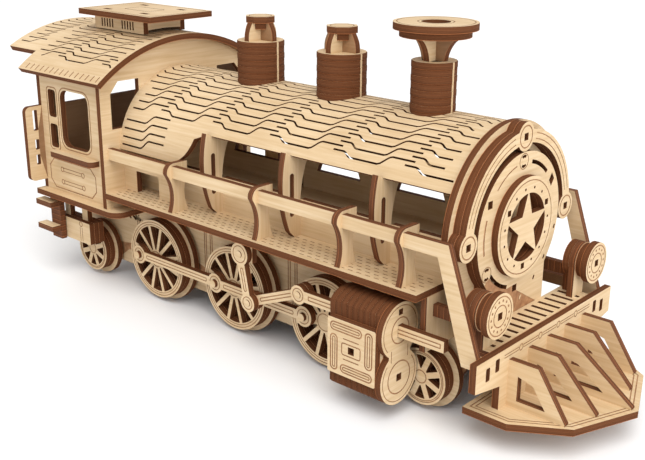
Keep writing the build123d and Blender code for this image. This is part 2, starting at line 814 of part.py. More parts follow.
with BuildPart() as pilot_blades:
    knee_x = beam_face + blade_knee
    for i, tip_x in enumerate(blade_tips):
        blade_y = (i - 2) * blade_pitch
        with BuildSketch(Plane.XZ.offset(-blade_y - ply / 2)):
            with BuildLine():
                Polyline(
                    (beam_face, base_top),
                    (beam_face, blade_top),
                    (knee_x, blade_top),
                    (tip_x, base_top + 0.8),
                    (tip_x, base_top),
                    close=True,
                )
            make_face()
            with BuildLine():
                slope = (tip_x - knee_x) / (blade_top - base_top - 0.8)
                inner_rear = beam_face + 4.5
                window_low = base_top + 3.2
                window_high = blade_top - 6
                Polyline(
                    (inner_rear, window_low),
                    (inner_rear, window_high),
                    (knee_x - 5 + 5 * slope, window_high - 2),
                    (knee_x - 5 + (blade_top - window_low - 3) * slope, window_low),
                    close=True,
                )
            make_face(mode=Mode.SUBTRACT)
        extrude(amount=ply)
save(pilot_blades.part, "pilot_blades")

with BuildPart() as front_platform:
    with BuildSketch(Plane.XY.offset(frame_low_top)):
        with Locations(((front_plate_front + beam_rear) / 2, 0)):
            Rectangle(beam_rear - front_plate_front, 2 * platform_half_width)
            with GridLocations(1, 5.6, 1, 13):
                Rectangle(10.5, 1.9, mode=Mode.SUBTRACT)
    extrude(amount=ply)
save(front_platform.part, "front_platform")

# ---- lamps -----------------------------------------------------------------
lamp_post_x = lamp_front - 3 * ply
with BuildPart() as lamp_posts:
    for side in (-1, 1):
        with BuildSketch(Plane.YZ.offset(lamp_post_x)):
            with Locations((side * lamp_y, lamp_z)):
                Circle(lamp_radius - 1.2)
            foot_y = side * (platform_half_width - 4.5)
            with Locations((foot_y, (platform_top + lamp_z) / 2)):
                Rectangle(lamp_post_width, lamp_z - platform_top)
        extrude(amount=ply)
    for start in sides(bracket_y - ply, bracket_y):
        with BuildSketch(Plane.XZ.offset(start)):
            with Locations((lamp_post_x - bracket_width / 2, (platform_top + bracket_top) / 2)):
                Rectangle(bracket_width, bracket_top - platform_top)
            arm_front = lamp_post_x - bracket_width
            with Locations(((deck_front + arm_front) / 2, arm_top - bracket_width / 2)):
                Rectangle(arm_front - deck_front, bracket_width)
        extrude(amount=ply)
save(lamp_posts.part, "lamp_posts")

with BuildPart() as lamps:
    disc_rows = ((lamp_post_x - ply, lamp_radius - 1.2), (lamp_front - 2 * ply, lamp_radius - 1.6))
    disc_rows += ((lamp_front - ply, lamp_radius),)
    for disc_x, disc_radius in disc_rows:
        with BuildSketch(Plane.YZ.offset(disc_x)):
            with Locations((-lamp_y, lamp_z), (lamp_y, lamp_z)):
                Circle(disc_radius)
                if disc_radius == lamp_radius:
                    Rectangle(3, 3, mode=Mode.SUBTRACT)
            if disc_x < lamp_post_x:
                slot_foot = lamp_z - lamp_radius
                for side in (-1, 1):
                    with Locations((side * (bracket_y - ply / 2), (bracket_top + slot_foot) / 2)):
                        Rectangle(ply, bracket_top - slot_foot, mode=Mode.SUBTRACT)
        extrude(amount=ply)
save(lamps.part, "lamps")

# ---- under the cab ---------------------------------------------------------
with BuildPart() as tool_boxes:
    box_inner_y = tool_box_y - 3 * ply
    for layer in range(3):
        for start in sides(box_inner_y + layer * ply, box_inner_y + (layer + 1) * ply):
            with BuildSketch(Plane.XZ.offset(start)):
                with Locations((tool_box_rear + tool_box_length / 2, tool_box_top - tool_box_height / 2)):
                    Rectangle(tool_box_length, tool_box_height)
                if layer == 1:
                    for strap_x in (tool_box_rear + 7, tool_box_rear + 23):
                        with Locations((strap_x, (tool_box_top + floor_bottom) / 2)):
                            Rectangle(5, floor_bottom - tool_box_top)
            extrude(amount=ply)
save(tool_boxes.part, "tool_boxes")

with BuildPart() as cab_steps:
    step_outer_y = floor_half_width
    step_inner_y = tool_box_y + 0.5
    for side in (-1, 1):
        with BuildSketch(Plane.XZ.offset(step_inner_y if side < 0 else -step_inner_y - ply)):
            with Locations((cab_rear + 8, (step_lower_z - 8 + floor_bottom) / 2)):
                Rectangle(9, floor_bottom - step_lower_z + 8)
        extrude(amount=ply)
        for tread_z in (step_upper_z, step_lower_z):
            tread_width = step_outer_y - step_inner_y - ply
            with BuildSketch(Plane.XY.offset(tread_z - ply)):
                with Locations((cab_rear + 5, side * (step_outer_y - tread_width / 2))):
                    Rectangle(step_length, tread_width)
            extrude(amount=ply)
save(cab_steps.part, "cab_steps")

# ---- wheels ----------------------------------------------------------------
def spoked_outline(radius, rim, hub, spokes, width):
    """A rim, a hub and straight spokes; the axle's hole goes through the hub."""
    Circle(radius)
    Circle(radius - rim, mode=Mode.SUBTRACT)
    Circle(hub)
    with PolarLocations((hub + radius - rim) / 2, spokes, 360 / spokes / 2):
        Rectangle(radius - rim - hub + 2, width)


def wheel_pair(x, radius, face_radius, rim, hub, spokes, width, crank):
    """Both wheels of an axle: two spoked layers and a larger flange disc inside."""
    for layer in range(3):
        inner = wheel_face_y - (layer + 1) * ply
        for side in (-1, 1):
            start = inner if side < 0 else -inner - ply
            with BuildSketch(along(start, x, radius)) as disc:
                if layer < 2:
                    spoked_outline(face_radius, rim, hub, spokes, width)
                    if crank:
                        with Locations((crank_dx, crank_dz)):
                            Circle(rod_end_radius)
                            Circle(crank_pin_radius, mode=Mode.SUBTRACT)
                else:
                    spoked_outline(radius, rim + radius - face_radius, hub, spokes, width)
                Circle(axle_radius, mode=Mode.SUBTRACT)
            extrude(disc.sketch, amount=ply)


def axle_rod(x, z):
    """A round axle as long as the wheels are apart, outside to outside."""
    with BuildSketch(along(-wheel_face_y, x, z)) as section:
        Circle(axle_radius)
    extrude(section.sketch, amount=2 * wheel_face_y)


driver_names = ("rear", "middle", "front")
for driver_x, which in zip(drivers_x, driver_names):
    with BuildPart() as driving_wheels:
        wheel_pair(
            driver_x, driver_flange_radius, driver_face_radius,
            driver_rim, driver_hub_radius, driver_spokes, spoke_width, True,
        )
    save(driving_wheels.part, f"{which}_driving_wheels")
    with BuildPart() as driving_axle:
        axle_rod(driver_x, driver_flange_radius)
    save(driving_axle.part, f"{which}_driving_axle")
    with BuildPart() as crank_pins:
        pin_x = driver_x + crank_dx
        pin_z = driver_flange_radius + crank_dz
        pin_inner_y = wheel_face_y - 2 * ply
        for pin_start in (pin_inner_y, -crank_pin_end_y):
            with BuildSketch(along(pin_start, pin_x, pin_z)):
                Circle(crank_pin_radius)
            extrude(amount=crank_pin_end_y - pin_inner_y)
    save(crank_pins.part, f"{which}_crank_pins")

for small_x, which in ((leading_x, "leading"), (trailing_x, "trailing")):
    with BuildPart() as small_wheels:
        wheel_pair(
            small_x, small_flange_radius, small_face_radius,
            small_rim, small_hub_radius, small_spokes, small_spoke_width, False,
        )
    save(small_wheels.part, f"{which}_wheels")
    with BuildPart() as small_axle:
        axle_rod(small_x, small_flange_radius)
    save(small_axle.part, f"{which}_axle")

# ---- coupling rods ---------------------------------------------------------
pin_places = [(x + crank_dx, driver_flange_radius + crank_dz) for x in drivers_x]
rod_starts = {"right": rod_inner_y, "left": -rod_outer_y}
for hand, start in rod_starts.items():
    with BuildPart() as coupling_rod:
        with BuildSketch(Plane.XZ.offset(start)):
            bar_outline(pin_places[0], pin_places[-1], rod_height)
            with Locations(*pin_places):
                Circle(rod_end_radius)
                Circle(crank_pin_radius + running_fit, mode=Mode.SUBTRACT)
        extrude(amount=ply)
    save(coupling_rod.part, f"{hand}_coupling_rod")

# ---- valve gear ------------------------------------------------------------
pivot = (lever_pivot_x, lever_pivot_z)
foot = (lever_foot_x, lever_foot_z)
crosshead = (crosshead_x, piston_z)
pin_length = gear_outer_y - link_inner_y + 0.4
hanger_foot_z = lever_pivot_z - gear_eye_radius

with BuildPart() as lever_hangers:
    for start in sides(link_inner_y, link_outer_y):
        with BuildSketch(Plane.XZ.offset(start)):
            with Locations((lever_pivot_x, (hanger_foot_z + deck_bottom) / 2)):
                Rectangle(2 * lever_head_radius, deck_bottom - hanger_foot_z)
            with Locations(pivot):
                Circle(gear_pin_radius, mode=Mode.SUBTRACT)
        extrude(amount=ply)
    for start in sides(link_inner_y, link_inner_y + pin_length):
        with BuildSketch(Plane.XZ.offset(start)):
            with Locations(pivot):
                Circle(gear_pin_radius)
        extrude(amount=pin_length)
save(lever_hangers.part, "lever_hangers")

gear_starts = {"right": (gear_inner_y, link_inner_y), "left": (-gear_outer_y, -link_outer_y)}
pin_starts = {"right": link_inner_y, "left": -link_inner_y - pin_length}
for hand, (gear_start, link_start) in gear_starts.items():
    with BuildPart() as valve_lever:
        with BuildSketch(Plane.XZ.offset(gear_start)):
            bar_outline(pivot, foot, gear_bar)
            with Locations(pivot):
                Circle(lever_head_radius)
                Circle(gear_pin_radius + running_fit, mode=Mode.SUBTRACT)
            with Locations(foot):
                Circle(gear_eye_radius)
                Circle(gear_pin_radius, mode=Mode.SUBTRACT)
        extrude(amount=ply)
        with BuildSketch(Plane.XZ.offset(pin_starts[hand])):
            with Locations(foot):
                Circle(gear_pin_radius)
        extrude(amount=pin_length)
    save(valve_lever.part, f"{hand}_valve_lever")

    with BuildPart() as valve_link:
        with BuildSketch(Plane.XZ.offset(link_start)):
            bar_outline(foot, crosshead, gear_bar)
            with Locations(foot, crosshead):
                Circle(gear_eye_radius)
            with Locations(foot):
                Circle(gear_pin_radius + running_fit, mode=Mode.SUBTRACT)
            with Locations(crosshead):
                Circle(gear_pin_radius + open_pivot_gap, mode=Mode.SUBTRACT)
        extrude(amount=ply)
    save(valve_link.part, f"{hand}_valve_link")

    with BuildPart() as piston_rod:
        with BuildSketch(Plane.XZ.offset(gear_start)):
            bar_outline(crosshead, (cylinder_front + piston_tail, piston_z), piston_height)
            with Locations(crosshead):
                Circle(gear_eye_radius)
                Circle(gear_pin_radius, mode=Mode.SUBTRACT)
        extrude(amount=ply)
        with BuildSketch(Plane.XZ.offset(pin_starts[hand])):
            with Locations(crosshead):
                Circle(gear_pin_radius)
        extrude(amount=pin_length)
    save(piston_rod.part, f"{hand}_piston_rod")
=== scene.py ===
from math import acos, asin, atan2, cos, degrees, hypot, pi, radians, sin, sqrt

import bmesh
import bpy
from mathutils import Matrix, Vector


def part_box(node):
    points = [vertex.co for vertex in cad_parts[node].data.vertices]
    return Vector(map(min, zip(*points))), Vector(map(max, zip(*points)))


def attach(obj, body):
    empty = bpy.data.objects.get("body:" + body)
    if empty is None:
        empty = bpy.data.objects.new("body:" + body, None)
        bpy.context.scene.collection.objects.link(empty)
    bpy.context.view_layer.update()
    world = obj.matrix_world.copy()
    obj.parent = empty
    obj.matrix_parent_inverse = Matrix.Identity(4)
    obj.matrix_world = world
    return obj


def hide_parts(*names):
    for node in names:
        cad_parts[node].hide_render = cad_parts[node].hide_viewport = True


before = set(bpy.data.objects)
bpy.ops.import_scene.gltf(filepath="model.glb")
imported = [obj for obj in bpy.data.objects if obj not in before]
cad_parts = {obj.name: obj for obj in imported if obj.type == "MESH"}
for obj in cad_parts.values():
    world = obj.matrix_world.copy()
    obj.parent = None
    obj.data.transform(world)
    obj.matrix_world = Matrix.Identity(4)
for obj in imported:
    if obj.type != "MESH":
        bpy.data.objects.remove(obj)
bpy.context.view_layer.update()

MM = 0.001
PLY = 3.0


def span(node):
    """Lowest and highest corner of a CAD node, in millimetres."""
    low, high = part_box(node)
    return Vector(low) / MM, Vector(high) / MM


# ---- materials -------------------------------------------------------------
MIX_FACTOR, MIX_FIRST, MIX_SECOND, MIX_RESULT = 0, 6, 7, 2  # a Mix node's sockets when it mixes colours
RELIEF = 0.2 * MM

BIRCH_DARK = (0.62, 0.44, 0.245)
BIRCH = (0.70, 0.52, 0.315)
BIRCH_PALE = (0.77, 0.60, 0.395)
BURNT_DARK = (0.17, 0.058, 0.022)
BURNT = (0.30, 0.108, 0.042)
BURNT_PALE = (0.52, 0.225, 0.10)
MARK_DARK = (0.27, 0.12, 0.050)
MARK_PALE = (0.46, 0.24, 0.11)
# Smoke stain and painted shade of a sheet's lower face, dark to stand for the shade inside the model.
SMOKE_AND_SHADE_DARK = (0.34, 0.235, 0.175)
SMOKE_AND_SHADE_PALE = (0.52, 0.40, 0.32)
CLOUD_DARK = (0.86, 0.82, 0.76)
WHITE = (1.0, 1.0, 1.0)

# Tone through a ply: a pale line beside one face, a painted highlight where the joint between plies catches
# the light, then darker and lighter layers.
PLY_TONES_WITH_HIGHLIGHT = [
    (0.0, (1, 0.95, 0.85)), (0.07, (0.9, 0.82, 0.72)), (0.13, (0.24, 0.22, 0.2)),
    (0.3, (0.42, 0.4, 0.38)), (0.42, (0.34, 0.32, 0.3)), (0.55, (0.5, 0.47, 0.44)),
    (0.72, (0.38, 0.36, 0.34)), (0.9, (0.46, 0.43, 0.4)), (1.0, (0.3, 0.27, 0.25)),
]


def shader_of(name):
    """A new material with its shader and a helper that adds nodes to its tree."""
    material = bpy.data.materials.new(name)
    material.use_nodes = True
    tree = material.node_tree

    def add(kind, links=(), **settings):
        node = tree.nodes.new(kind)
        for key, value in settings.items():
            setattr(node, key, value)
        for socket, value in links:
            if isinstance(value, bpy.types.NodeSocket):
                tree.links.new(value, node.inputs[socket])
            else:
                node.inputs[socket].default_value = value
        return node

    return material, tree.nodes["Principled BSDF"], add


def ramp(add, factor, stops):
    """A colour ramp with the given (place, colour) stops."""
    node = add("ShaderNodeValToRGB", [("Fac", factor)])
    elements = node.color_ramp.elements
    while len(elements) < len(stops):
        elements.new(0.5)
    for element, (place, colour) in zip(elements, stops):
        element.position = place
        element.color = (*colour, 1)
    return node.outputs["Color"]


def clouds(add, place, scale, detail, links=(), **settings):
    """Soft noise about a place."""
    links = [("Vector", place), ("Scale", scale), ("Detail", detail), *links]
    return add("ShaderNodeTexNoise", links, **settings).outputs["Fac"]


def grain(add, coordinates, along, across):
    """Long streaks of wood grain, fine across and long along the first axis."""
    mapped = add("ShaderNodeMapping", [("Vector", coordinates), ("Scale", (along, across, across))])
    streaky = [("Roughness", 0.6), ("Distortion", 0.35)]
    return clouds(add, mapped.outputs["Vector"], 1.0, 6.0, streaky)


def mix(add, factor, first, second, **settings):
    """Two colours mixed by a factor."""
    sockets = [(MIX_FACTOR, factor), (MIX_FIRST, first), (MIX_SECOND, second)]
    return add("ShaderNodeMix", sockets, data_type="RGBA", **settings).outputs[MIX_RESULT]


def multiplied(add, first, second):
    """One colour multiplied by another."""
    return mix(add, 1.0, first, second, blend_type="MULTIPLY")


def birch_colour(add, coordinates, place):
    """The pale birch veneer: streaks and broad clouds of tone."""
    streaks = grain(add, coordinates, 28, 620)
    colour = ramp(add, streaks, [(0.28, BIRCH_DARK), (0.5, BIRCH), (0.74, BIRCH_PALE)])
    tone = ramp(add, clouds(add, place, 26.0, 3.0), [(0.3, CLOUD_DARK), (0.7, WHITE)])
    return multiplied(add, colour, tone), streaks


def burnt_colour(add, place, layer):
    """A laser-burnt cut edge: streaks along the plies, and a paler line beside one face that is a painted
    highlight at the joint.
    """
    drift = add("ShaderNodeMath", [(0, layer), (1, 1.6)], operation="MULTIPLY")
    streaky = [("W", drift.outputs[0]), ("Roughness", 0.6)]
    blotch = clouds(add, place, 75.0, 4.0, streaky, noise_dimensions="4D")
    scorch = ramp(add, blotch, [(0.32, BURNT_DARK), (0.5, BURNT), (0.7, BURNT_PALE)])
    return multiplied(add, scorch, ramp(add, layer, PLY_TONES_WITH_HIGHLIGHT)), blotch


def dress(shader, add, colour, roughness, specular=None, height=None, strength=0.25):
    """Gives a shader its colour, its shine and, from a height, a fine relief."""
    links = shader.id_data.links
    links.new(colour, shader.inputs["Base Color"])
    shader.inputs["Roughness"].default_value = roughness
    if specular is not None:
        shader.inputs["Specular IOR Level"].default_value = specular
    if height:
        settings = [("Height", height), ("Strength", strength), ("Distance", RELIEF)]
        links.new(add("ShaderNodeBump", settings).outputs["Normal"], shader.inputs["Normal"])


def sheet_maps(add):
    """The flat map of a sheet, for its grain, and the place on the object."""
    return add("ShaderNodeUVMap", uv_map="sheet").outputs["UV"], add("ShaderNodeTexCoord").outputs["Object"]


def face_material():
    material, shader, add = shader_of("birch_face")
    colour, streaks = birch_colour(add, *sheet_maps(add))
    dress(shader, add, colour, 0.62, 0.3, streaks)
    return material


def back_material():
    """The lower face of a sheet: a laser smoke stain, made darker as painted shade for the faces inside and
    under the model.
    """
    material, shader, add = shader_of("smoked_and_shaded_back")
    flat, place = sheet_maps(add)
    colour, streaks = birch_colour(add, flat, place)
    # Painted shade: a darker, smoke-stained tone for the lower face, which mostly faces inward.
    smoke_and_shade = ramp(add, clouds(add, place, 40.0, 4.0), [(0.3, SMOKE_AND_SHADE_DARK), (0.7, SMOKE_AND_SHADE_PALE)])
    dress(shader, add, multiplied(add, colour, smoke_and_shade), 0.7, height=streaks)
    return material


def edge_material():
    material, shader, add = shader_of("burnt_edge")
    place = add("ShaderNodeTexCoord").outputs["Object"]
    layer = add("ShaderNodeAttribute", attribute_name="depth").outputs["Fac"]
    colour, blotch = burnt_colour(add, place, layer)
    dress(shader, add, colour, 0.8, 0.12, blotch, 0.3)
    return material


def mark_material():
    material, shader, add = shader_of("engraved_line")
    place = add("ShaderNodeTexCoord").outputs["Object"]
    colour = ramp(add, clouds(add, place, 420.0, 4.0), [(0.3, MARK_DARK), (0.7, MARK_PALE)])
    dress(shader, add, colour, 0.8)
    return material


def solid_material(axis):
    """For a plate made of loose faces: birch where it faces its axis, burnt elsewhere."""
    material, shader, add = shader_of("plywood_" + "xyz"[axis])
    texture = add("ShaderNodeTexCoord")
    place, normal = texture.outputs["Object"], texture.outputs["Normal"]
    grain_axis = 0 if axis else 2
    split = add("ShaderNodeSeparateXYZ", [("Vector", place)]).outputs
    order = (grain_axis, 3 - axis - grain_axis, axis)
    flat = add("ShaderNodeCombineXYZ", [(i, split[source]) for i, source in enumerate(order)])
    birch = birch_colour(add, flat.outputs[0], place)[0]
    layer = add("ShaderNodeMath", [(0, split[axis]), (1, PLY * MM)], operation="DIVIDE")
    layer = add("ShaderNodeMath", [(0, layer.outputs[0])], operation="FRACT")
    burnt, blotch = burnt_colour(add, place, layer.outputs[0])
    facing = add("ShaderNodeSeparateXYZ", [("Vector", normal)])
    size = add("ShaderNodeMath", [(0, facing.outputs[axis])], operation="ABSOLUTE")
    is_face = add("ShaderNodeMath", [(0, size.outputs[0]), (1, 0.75)], operation="GREATER_THAN")
    mixed = mix(add, is_face.outputs[0], burnt, birch)
    dress(shader, add, mixed, 0.7, 0.2, blotch, 0.2)
    return material


FACE = face_material()
EDGE = edge_material()
MARK = mark_material()
BACK = back_material()
SOLID = [solid_material(axis) for axis in range(3)]
FACE_SLOT, EDGE_SLOT, MARK_SLOT, BACK_SLOT = range(4)


# ---- outlines, in millimetres ----------------------------------------------
def arc(cx, cy, r, start, end, count=12):
    """Points along an arc, from one angle to another in degrees."""
    turns = [radians(start + (end - start) * i / count) for i in range(count + 1)]
    return [(cx + r * cos(a), cy + r * sin(a)) for a in turns]


def circle(cx, cy, r, count=48):
    return arc(cx, cy, r, 0, 360, count)[:-1]


def rounded(x0, y0, x1, y1, r=0.0):
    """A rectangle, with round corners where a radius is given."""
    if r <= 0:
        return [(x0, y0), (x1, y0), (x1, y1), (x0, y1)]
    corners = ((x1 - r, y0 + r, -90), (x1 - r, y1 - r, 0), (x0 + r, y1 - r, 90), (x0 + r, y0 + r, 180))
    points = []
    for cx, cy, turn in corners:
        points += arc(cx, cy, r, turn, turn + 90, 5)
    return points


def slot(ax, ay, bx, by, width):
    """A straight slot with round ends between two points."""
    turn = degrees(atan2(by - ay, bx - ax))
    far_end = arc(bx, by, width / 2, turn - 90, turn + 90, 5)
    return far_end + arc(ax, ay, width / 2, turn + 90, turn + 270, 5)


def arc_slot(cx, cy, r, start, end, width):
    """A slot that follows an arc."""
    count = max(4, int(abs(end - start) / 6))
    outer = arc(cx, cy, r + width / 2, start, end, count)
    return outer + arc(cx, cy, r - width / 2, end, start, count)


KERF = 1.3  # how much wider an engraved line burns than it is drawn


def ring_line(cx, cy, r, width=0.5):
    """An engraved ring: the line between two circles."""
    half = width * KERF / 2
    return [circle(cx, cy, r + half), circle(cx, cy, r - half)]


def frame_line(x0, y0, x1, y1, r, width=0.5):
    """An engraved frame: the line between two rounded rectangles."""
    width *= KERF
    inner = rounded(x0 + width, y0 + width, x1 - width, y1 - width, max(r - width, 0))
    return [rounded(x0, y0, x1, y1, r), inner]


def square(cx, cy, side):
    return rounded(cx - side / 2, cy - side / 2, cx + side / 2, cy + side / 2)


def mirrored(loops):
    """The same outlines on the other side of the middle line, first axis."""
    return [[(-x, y) for x, y in reversed(loop)] for loop in loops]


SLIT_STEP = 2.2
SLIT_DOWN, SLIT_UP = (5.8, 4.2), (24.6, 6.3)  # where each step starts, and how long it is
SLIT_KNOTS = [0, 2.9, 5.8, 6.9, 7.9, 8.9, 10, 17, 24.6, 26, 27.2, 28.5, 29.7, 30.9, 36, 42.2]
SHORTEST_SLIT = 6


def wave_slit(x, y, low, high, width=0.86):
    """One living-hinge slit: a short run, a step down, a long run and a higher step up."""
    def height(u):
        down = SLIT_STEP * smooth((u - SLIT_DOWN[0]) / SLIT_DOWN[1])
        up = 2 * SLIT_STEP * smooth((u - SLIT_UP[0]) / SLIT_UP[1])
        return SLIT_STEP - down + up
    path = [(x + u, y + height(u)) for u in SLIT_KNOTS if low < x + u < high]
    if len(path) < 4 or path[-1][0] - path[0][0] < SHORTEST_SLIT:
        return None
    ahead = path[1:] + [path[-1]]
    behind = [path[0]] + path[:-1]
    left, right = [], []
    for (px, py), (ax, ay), (bx, by) in zip(path, ahead, behind):
        length = hypot(ax - bx, ay - by)
        nx, ny = -(ay - by) / length * width / 2, (ax - bx) / length * width / 2
        left.append((px + nx, py + ny))
        right.append((px - nx, py - ny))
    return left + right[::-1]


def smooth(t):
    """An easy step from 0 to 1."""
    t = min(max(t, 0.0), 1.0)
    return t * t * (3 - 2 * t)


# ---- cutting sheets --------------------------------------------------------
VENEER = 0.16  # depth of an engraved line


def cut(loops, low, high, faces=(FACE_SLOT, FACE_SLOT), chamfer=0.0):
    """A flat sheet between two heights, cut to its outlines: the rim, then its holes."""
    bm = bmesh.new()
    depth = bm.verts.layers.float.new("depth")
    for loop in loops:
        ring = [bm.verts.new((x * MM, y * MM, low * MM)) for x, y in loop]
        for a, b in zip(ring, ring[1:] + ring[:1]):
            bm.edges.new((a, b))
    bmesh.ops.triangle_fill(bm, use_beauty=True, use_dissolve=False, edges=bm.edges[:])
    for face in bm.faces:
        face.material_index = faces[0]
    grown = bmesh.ops.extrude_face_region(bm, geom=bm.faces[:])["geom"]
    top = [part for part in grown if isinstance(part, bmesh.types.BMVert)]
    bmesh.ops.translate(bm, verts=top, vec=(0, 0, (high - low) * MM))
    for vert in top:
        vert[depth] = 1.0
    for face in bm.faces:
        heights = {round(vert[depth]) for vert in face.verts}
        face.material_index = EDGE_SLOT if len(heights) > 1 else faces[heights.pop()]
    if chamfer:
        corners = [
            edge for edge in bm.edges
            if len({face.material_index == EDGE_SLOT for face in edge.link_faces}) == 2
        ]
        bmesh.ops.bevel(
            bm, geom=corners, offset=chamfer * MM, segments=1, affect="EDGES", material=EDGE_SLOT
        )
    return bm


def sheet_uv(bm):
    """Lays the flat outline out as the sheet's own map, its grain along the first axis."""
    layer = bm.loops.layers.uv.get("sheet") or bm.loops.layers.uv.new("sheet")
    for face in bm.faces:
        for loop in face.loops:
            loop[layer].uv = loop.vert.co.xy


def merge(target, source):
    """Adds one bmesh to another and frees it."""
    mesh = bpy.data.meshes.new("part")
    source.to_mesh(mesh)
    target.from_mesh(mesh)
    bpy.data.meshes.remove(mesh)
    source.free()


def sheet(loops, marks=(), thickness=PLY):
    """One ply with its holes, and engraved lines cut into its upper face."""
    bm = bmesh.new()
    bm.verts.layers.float.new("depth")
    top = thickness - VENEER if marks else thickness
    # The lower face gets the smoked back, which carries painted shade.
    merge(bm, cut(loops, 0.0, top, (BACK_SLOT, MARK_SLOT if marks else FACE_SLOT)))
    if marks:
        merge(bm, cut(list(loops) + list(marks), top, thickness))
    sheet_uv(bm)
    return bm


def flat_place(z):
    """Lies flat with its lower face at a height."""
    return Matrix.Translation((0, 0, z * MM))


def across_place(x):
    """Stands across the model: outline x is +Y, outline y is +Z, upper face forward."""
    return Matrix(((0, 0, 1, x * MM), (1, 0, 0, 0), (0, 1, 0, 0), (0, 0, 0, 1)))


def along_place(y, side=-1):
    """Stands along the model: outline x is +X, outline y is +Z, upper face outward on that side."""
    return Matrix(((1, 0, 0, 0), (0, 0, side, side * y * MM), (0, 1, 0, 0), (0, 0, 0, 1)))


def finish_piece(name, body, node, parts):
    """Joins placed sheets into one piece, which rides on a body and stands for a node."""
    bm = bmesh.new()
    bm.verts.layers.float.new("depth")
    for source, place in parts:
        bmesh.ops.transform(source, matrix=place, verts=source.verts[:])
        merge(bm, source)
    bmesh.ops.recalc_face_normals(bm, faces=bm.faces[:])
    mesh = bpy.data.meshes.new(name)
    bm.to_mesh(mesh)
    bm.free()
    for material in (FACE, EDGE, MARK, BACK):
        mesh.materials.append(material)
    piece = bpy.data.objects.new(name, mesh)
    bpy.context.collection.objects.link(piece)
    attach(piece, body)
    if node:
        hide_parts(node)
    return piece


ROOT = "locomotive"
UNTURNED = Matrix.Identity(4)


# ---- bent sheets -----------------------------------------------------------
def bend(bm, radius, centre_z, step):
    """Rolls a flat sheet about an axis along X, its outline's middle line on top."""
    width = max(abs(vert.co.y) for vert in bm.verts)
    count = int(width / (step * MM)) + 1
    for i in range(-count, count + 1):
        geometry = bm.verts[:] + bm.edges[:] + bm.faces[:]
        place = (0, i * step * MM, 0)
        bmesh.ops.bisect_plane(bm, geom=geometry, dist=1e-7, plane_co=place, plane_no=(0, 1, 0))
    for vert in bm.verts:
        turn = vert.co.y / (radius * MM)
        reach = (radius - PLY) * MM + vert.co.z
        vert.co.y = reach * sin(turn)
        vert.co.z = centre_z * MM + reach * cos(turn)


BEND_STEP = 2.2
SLIT_PITCH = 4.4
SLIT_BRIDGE = 1.6  # wood left at a slit's end


def slit_rows(x0, x1, half_width, margin=3.0, period=38.0, shift=1.5):
    """Rows of living-hinge slits that fill a sheet's rectangle."""
    slits = []
    rows = int((half_width - margin) / SLIT_PITCH)
    for row in range(-rows, rows):
        y = row * SLIT_PITCH
        start = x0 - period + (row * shift) % period
        while start < x1:
            line = wave_slit(start, y, x0 + SLIT_BRIDGE, x1 - SLIT_BRIDGE)
            if line and max(abs(v) for _, v in line) < half_width - 1.2:
                slits.append(line)
            start += period
    return slits


def boiler_shell():
    low, high = span("boiler_shell")
    radius = high.y
    centre = high.z - radius
    edge_angle, skirt_angle = 62, 86
    edge = radius * radians(edge_angle)
    skirt = radius * radians(skirt_angle)
    heel, toe = -51.7, -27.1
    rim = [(low.x, -skirt), (heel, -skirt)] + arc(heel, -edge, skirt - edge, -90, 0, 8)[1:-1]
    rim = [(x if x < toe else toe, y) for x, y in rim] + [(toe, -edge), (high.x, -edge)]
    rim += [(x, -y) for x, y in reversed(rim)]
    slits = slit_rows(low.x, high.x, edge)
    for y in (edge + 1.6, edge + 6.0, edge + 10.4, edge + 14.4):
        for side in (-1, 1):
            line = wave_slit(low.x - 8, side * y, low.x + SLIT_BRIDGE, heel + 4)
            if line:
                slits.append(line)
    bm = sheet([rim] + slits)
    bend(bm, radius, centre, BEND_STEP)
    finish_piece("boiler_sheet", ROOT, "boiler_shell", [(bm, UNTURNED)])


def cab_roof():
    low, high = span("cab_roof")
    radius, tail_half_width, heel = 90.0, 44.0, -155.0
    centre = high.z - radius
    edge = radius * asin(high.y / radius)
    tail = radius * asin(tail_half_width / radius)
    rim = [
        (heel, -edge), (high.x, -edge), (high.x, edge), (heel, edge),
        (heel, tail), (low.x, tail), (low.x, -tail), (heel, -tail),
    ]
    slits = slit_rows(heel, high.x, edge - 6)
    slits += slit_rows(low.x, heel - 0.5, tail, margin=6)
    marks = []
    for i in range(15):
        x = heel + 6 + SLIT_PITCH * i
        for side in (-1, 1):
            marks.append(slot(x, side * (edge - 4.6), x, side * (edge - 1.4), 0.7))
    bm = sheet([rim] + slits, marks)
    bend(bm, radius, centre, BEND_STEP)
    finish_piece("roof_sheet", ROOT, "cab_roof", [(bm, UNTURNED)])


# ---- deck and cab ----------------------------------------------------------
def dashes(x0, x1, y0, y1, row=2.9, pitch=4.6, length=2.5, half_width=0.26):
    """Rows of short engraved dashes, every other row half a pitch along."""
    marks = []
    rows = int((y1 - y0) / row)
    for j in range(rows + 1):
        y = y0 + j * row
        x = x0 + 2 + (j % 2) * pitch / 2
        while x + length < x1 - 1:
            marks.append(rounded(x, y - half_width, x + length, y + half_width))
            x += pitch
    return marks


def deck():
    low, high = span("deck")
    rim = rounded(low.x, low.y, high.x, high.y)
    marks = dashes(low.x, high.x, 33.5, high.y - 1.5)
    marks += [[(x, -y) for x, y in reversed(loop)] for loop in marks]
    finish_piece("running_deck", ROOT, "deck", [(sheet([rim], marks), flat_place(low.z))])


def cab_floor():
    low, high = span("cab_floor")
    r = 7
    rim = [(low.x, low.y)] + arc(high.x - r, low.y + r, r, -90, 0, 6)
    rim += arc(high.x - r, high.y - r, r, 0, 90, 6) + [(low.x, high.y)]
    finish_piece("cab_floor_board", ROOT, "cab_floor", [(sheet([rim]), flat_place(low.z))])


ROOF_CENTRE = 46.7
ROOF_UNDER = 87.0


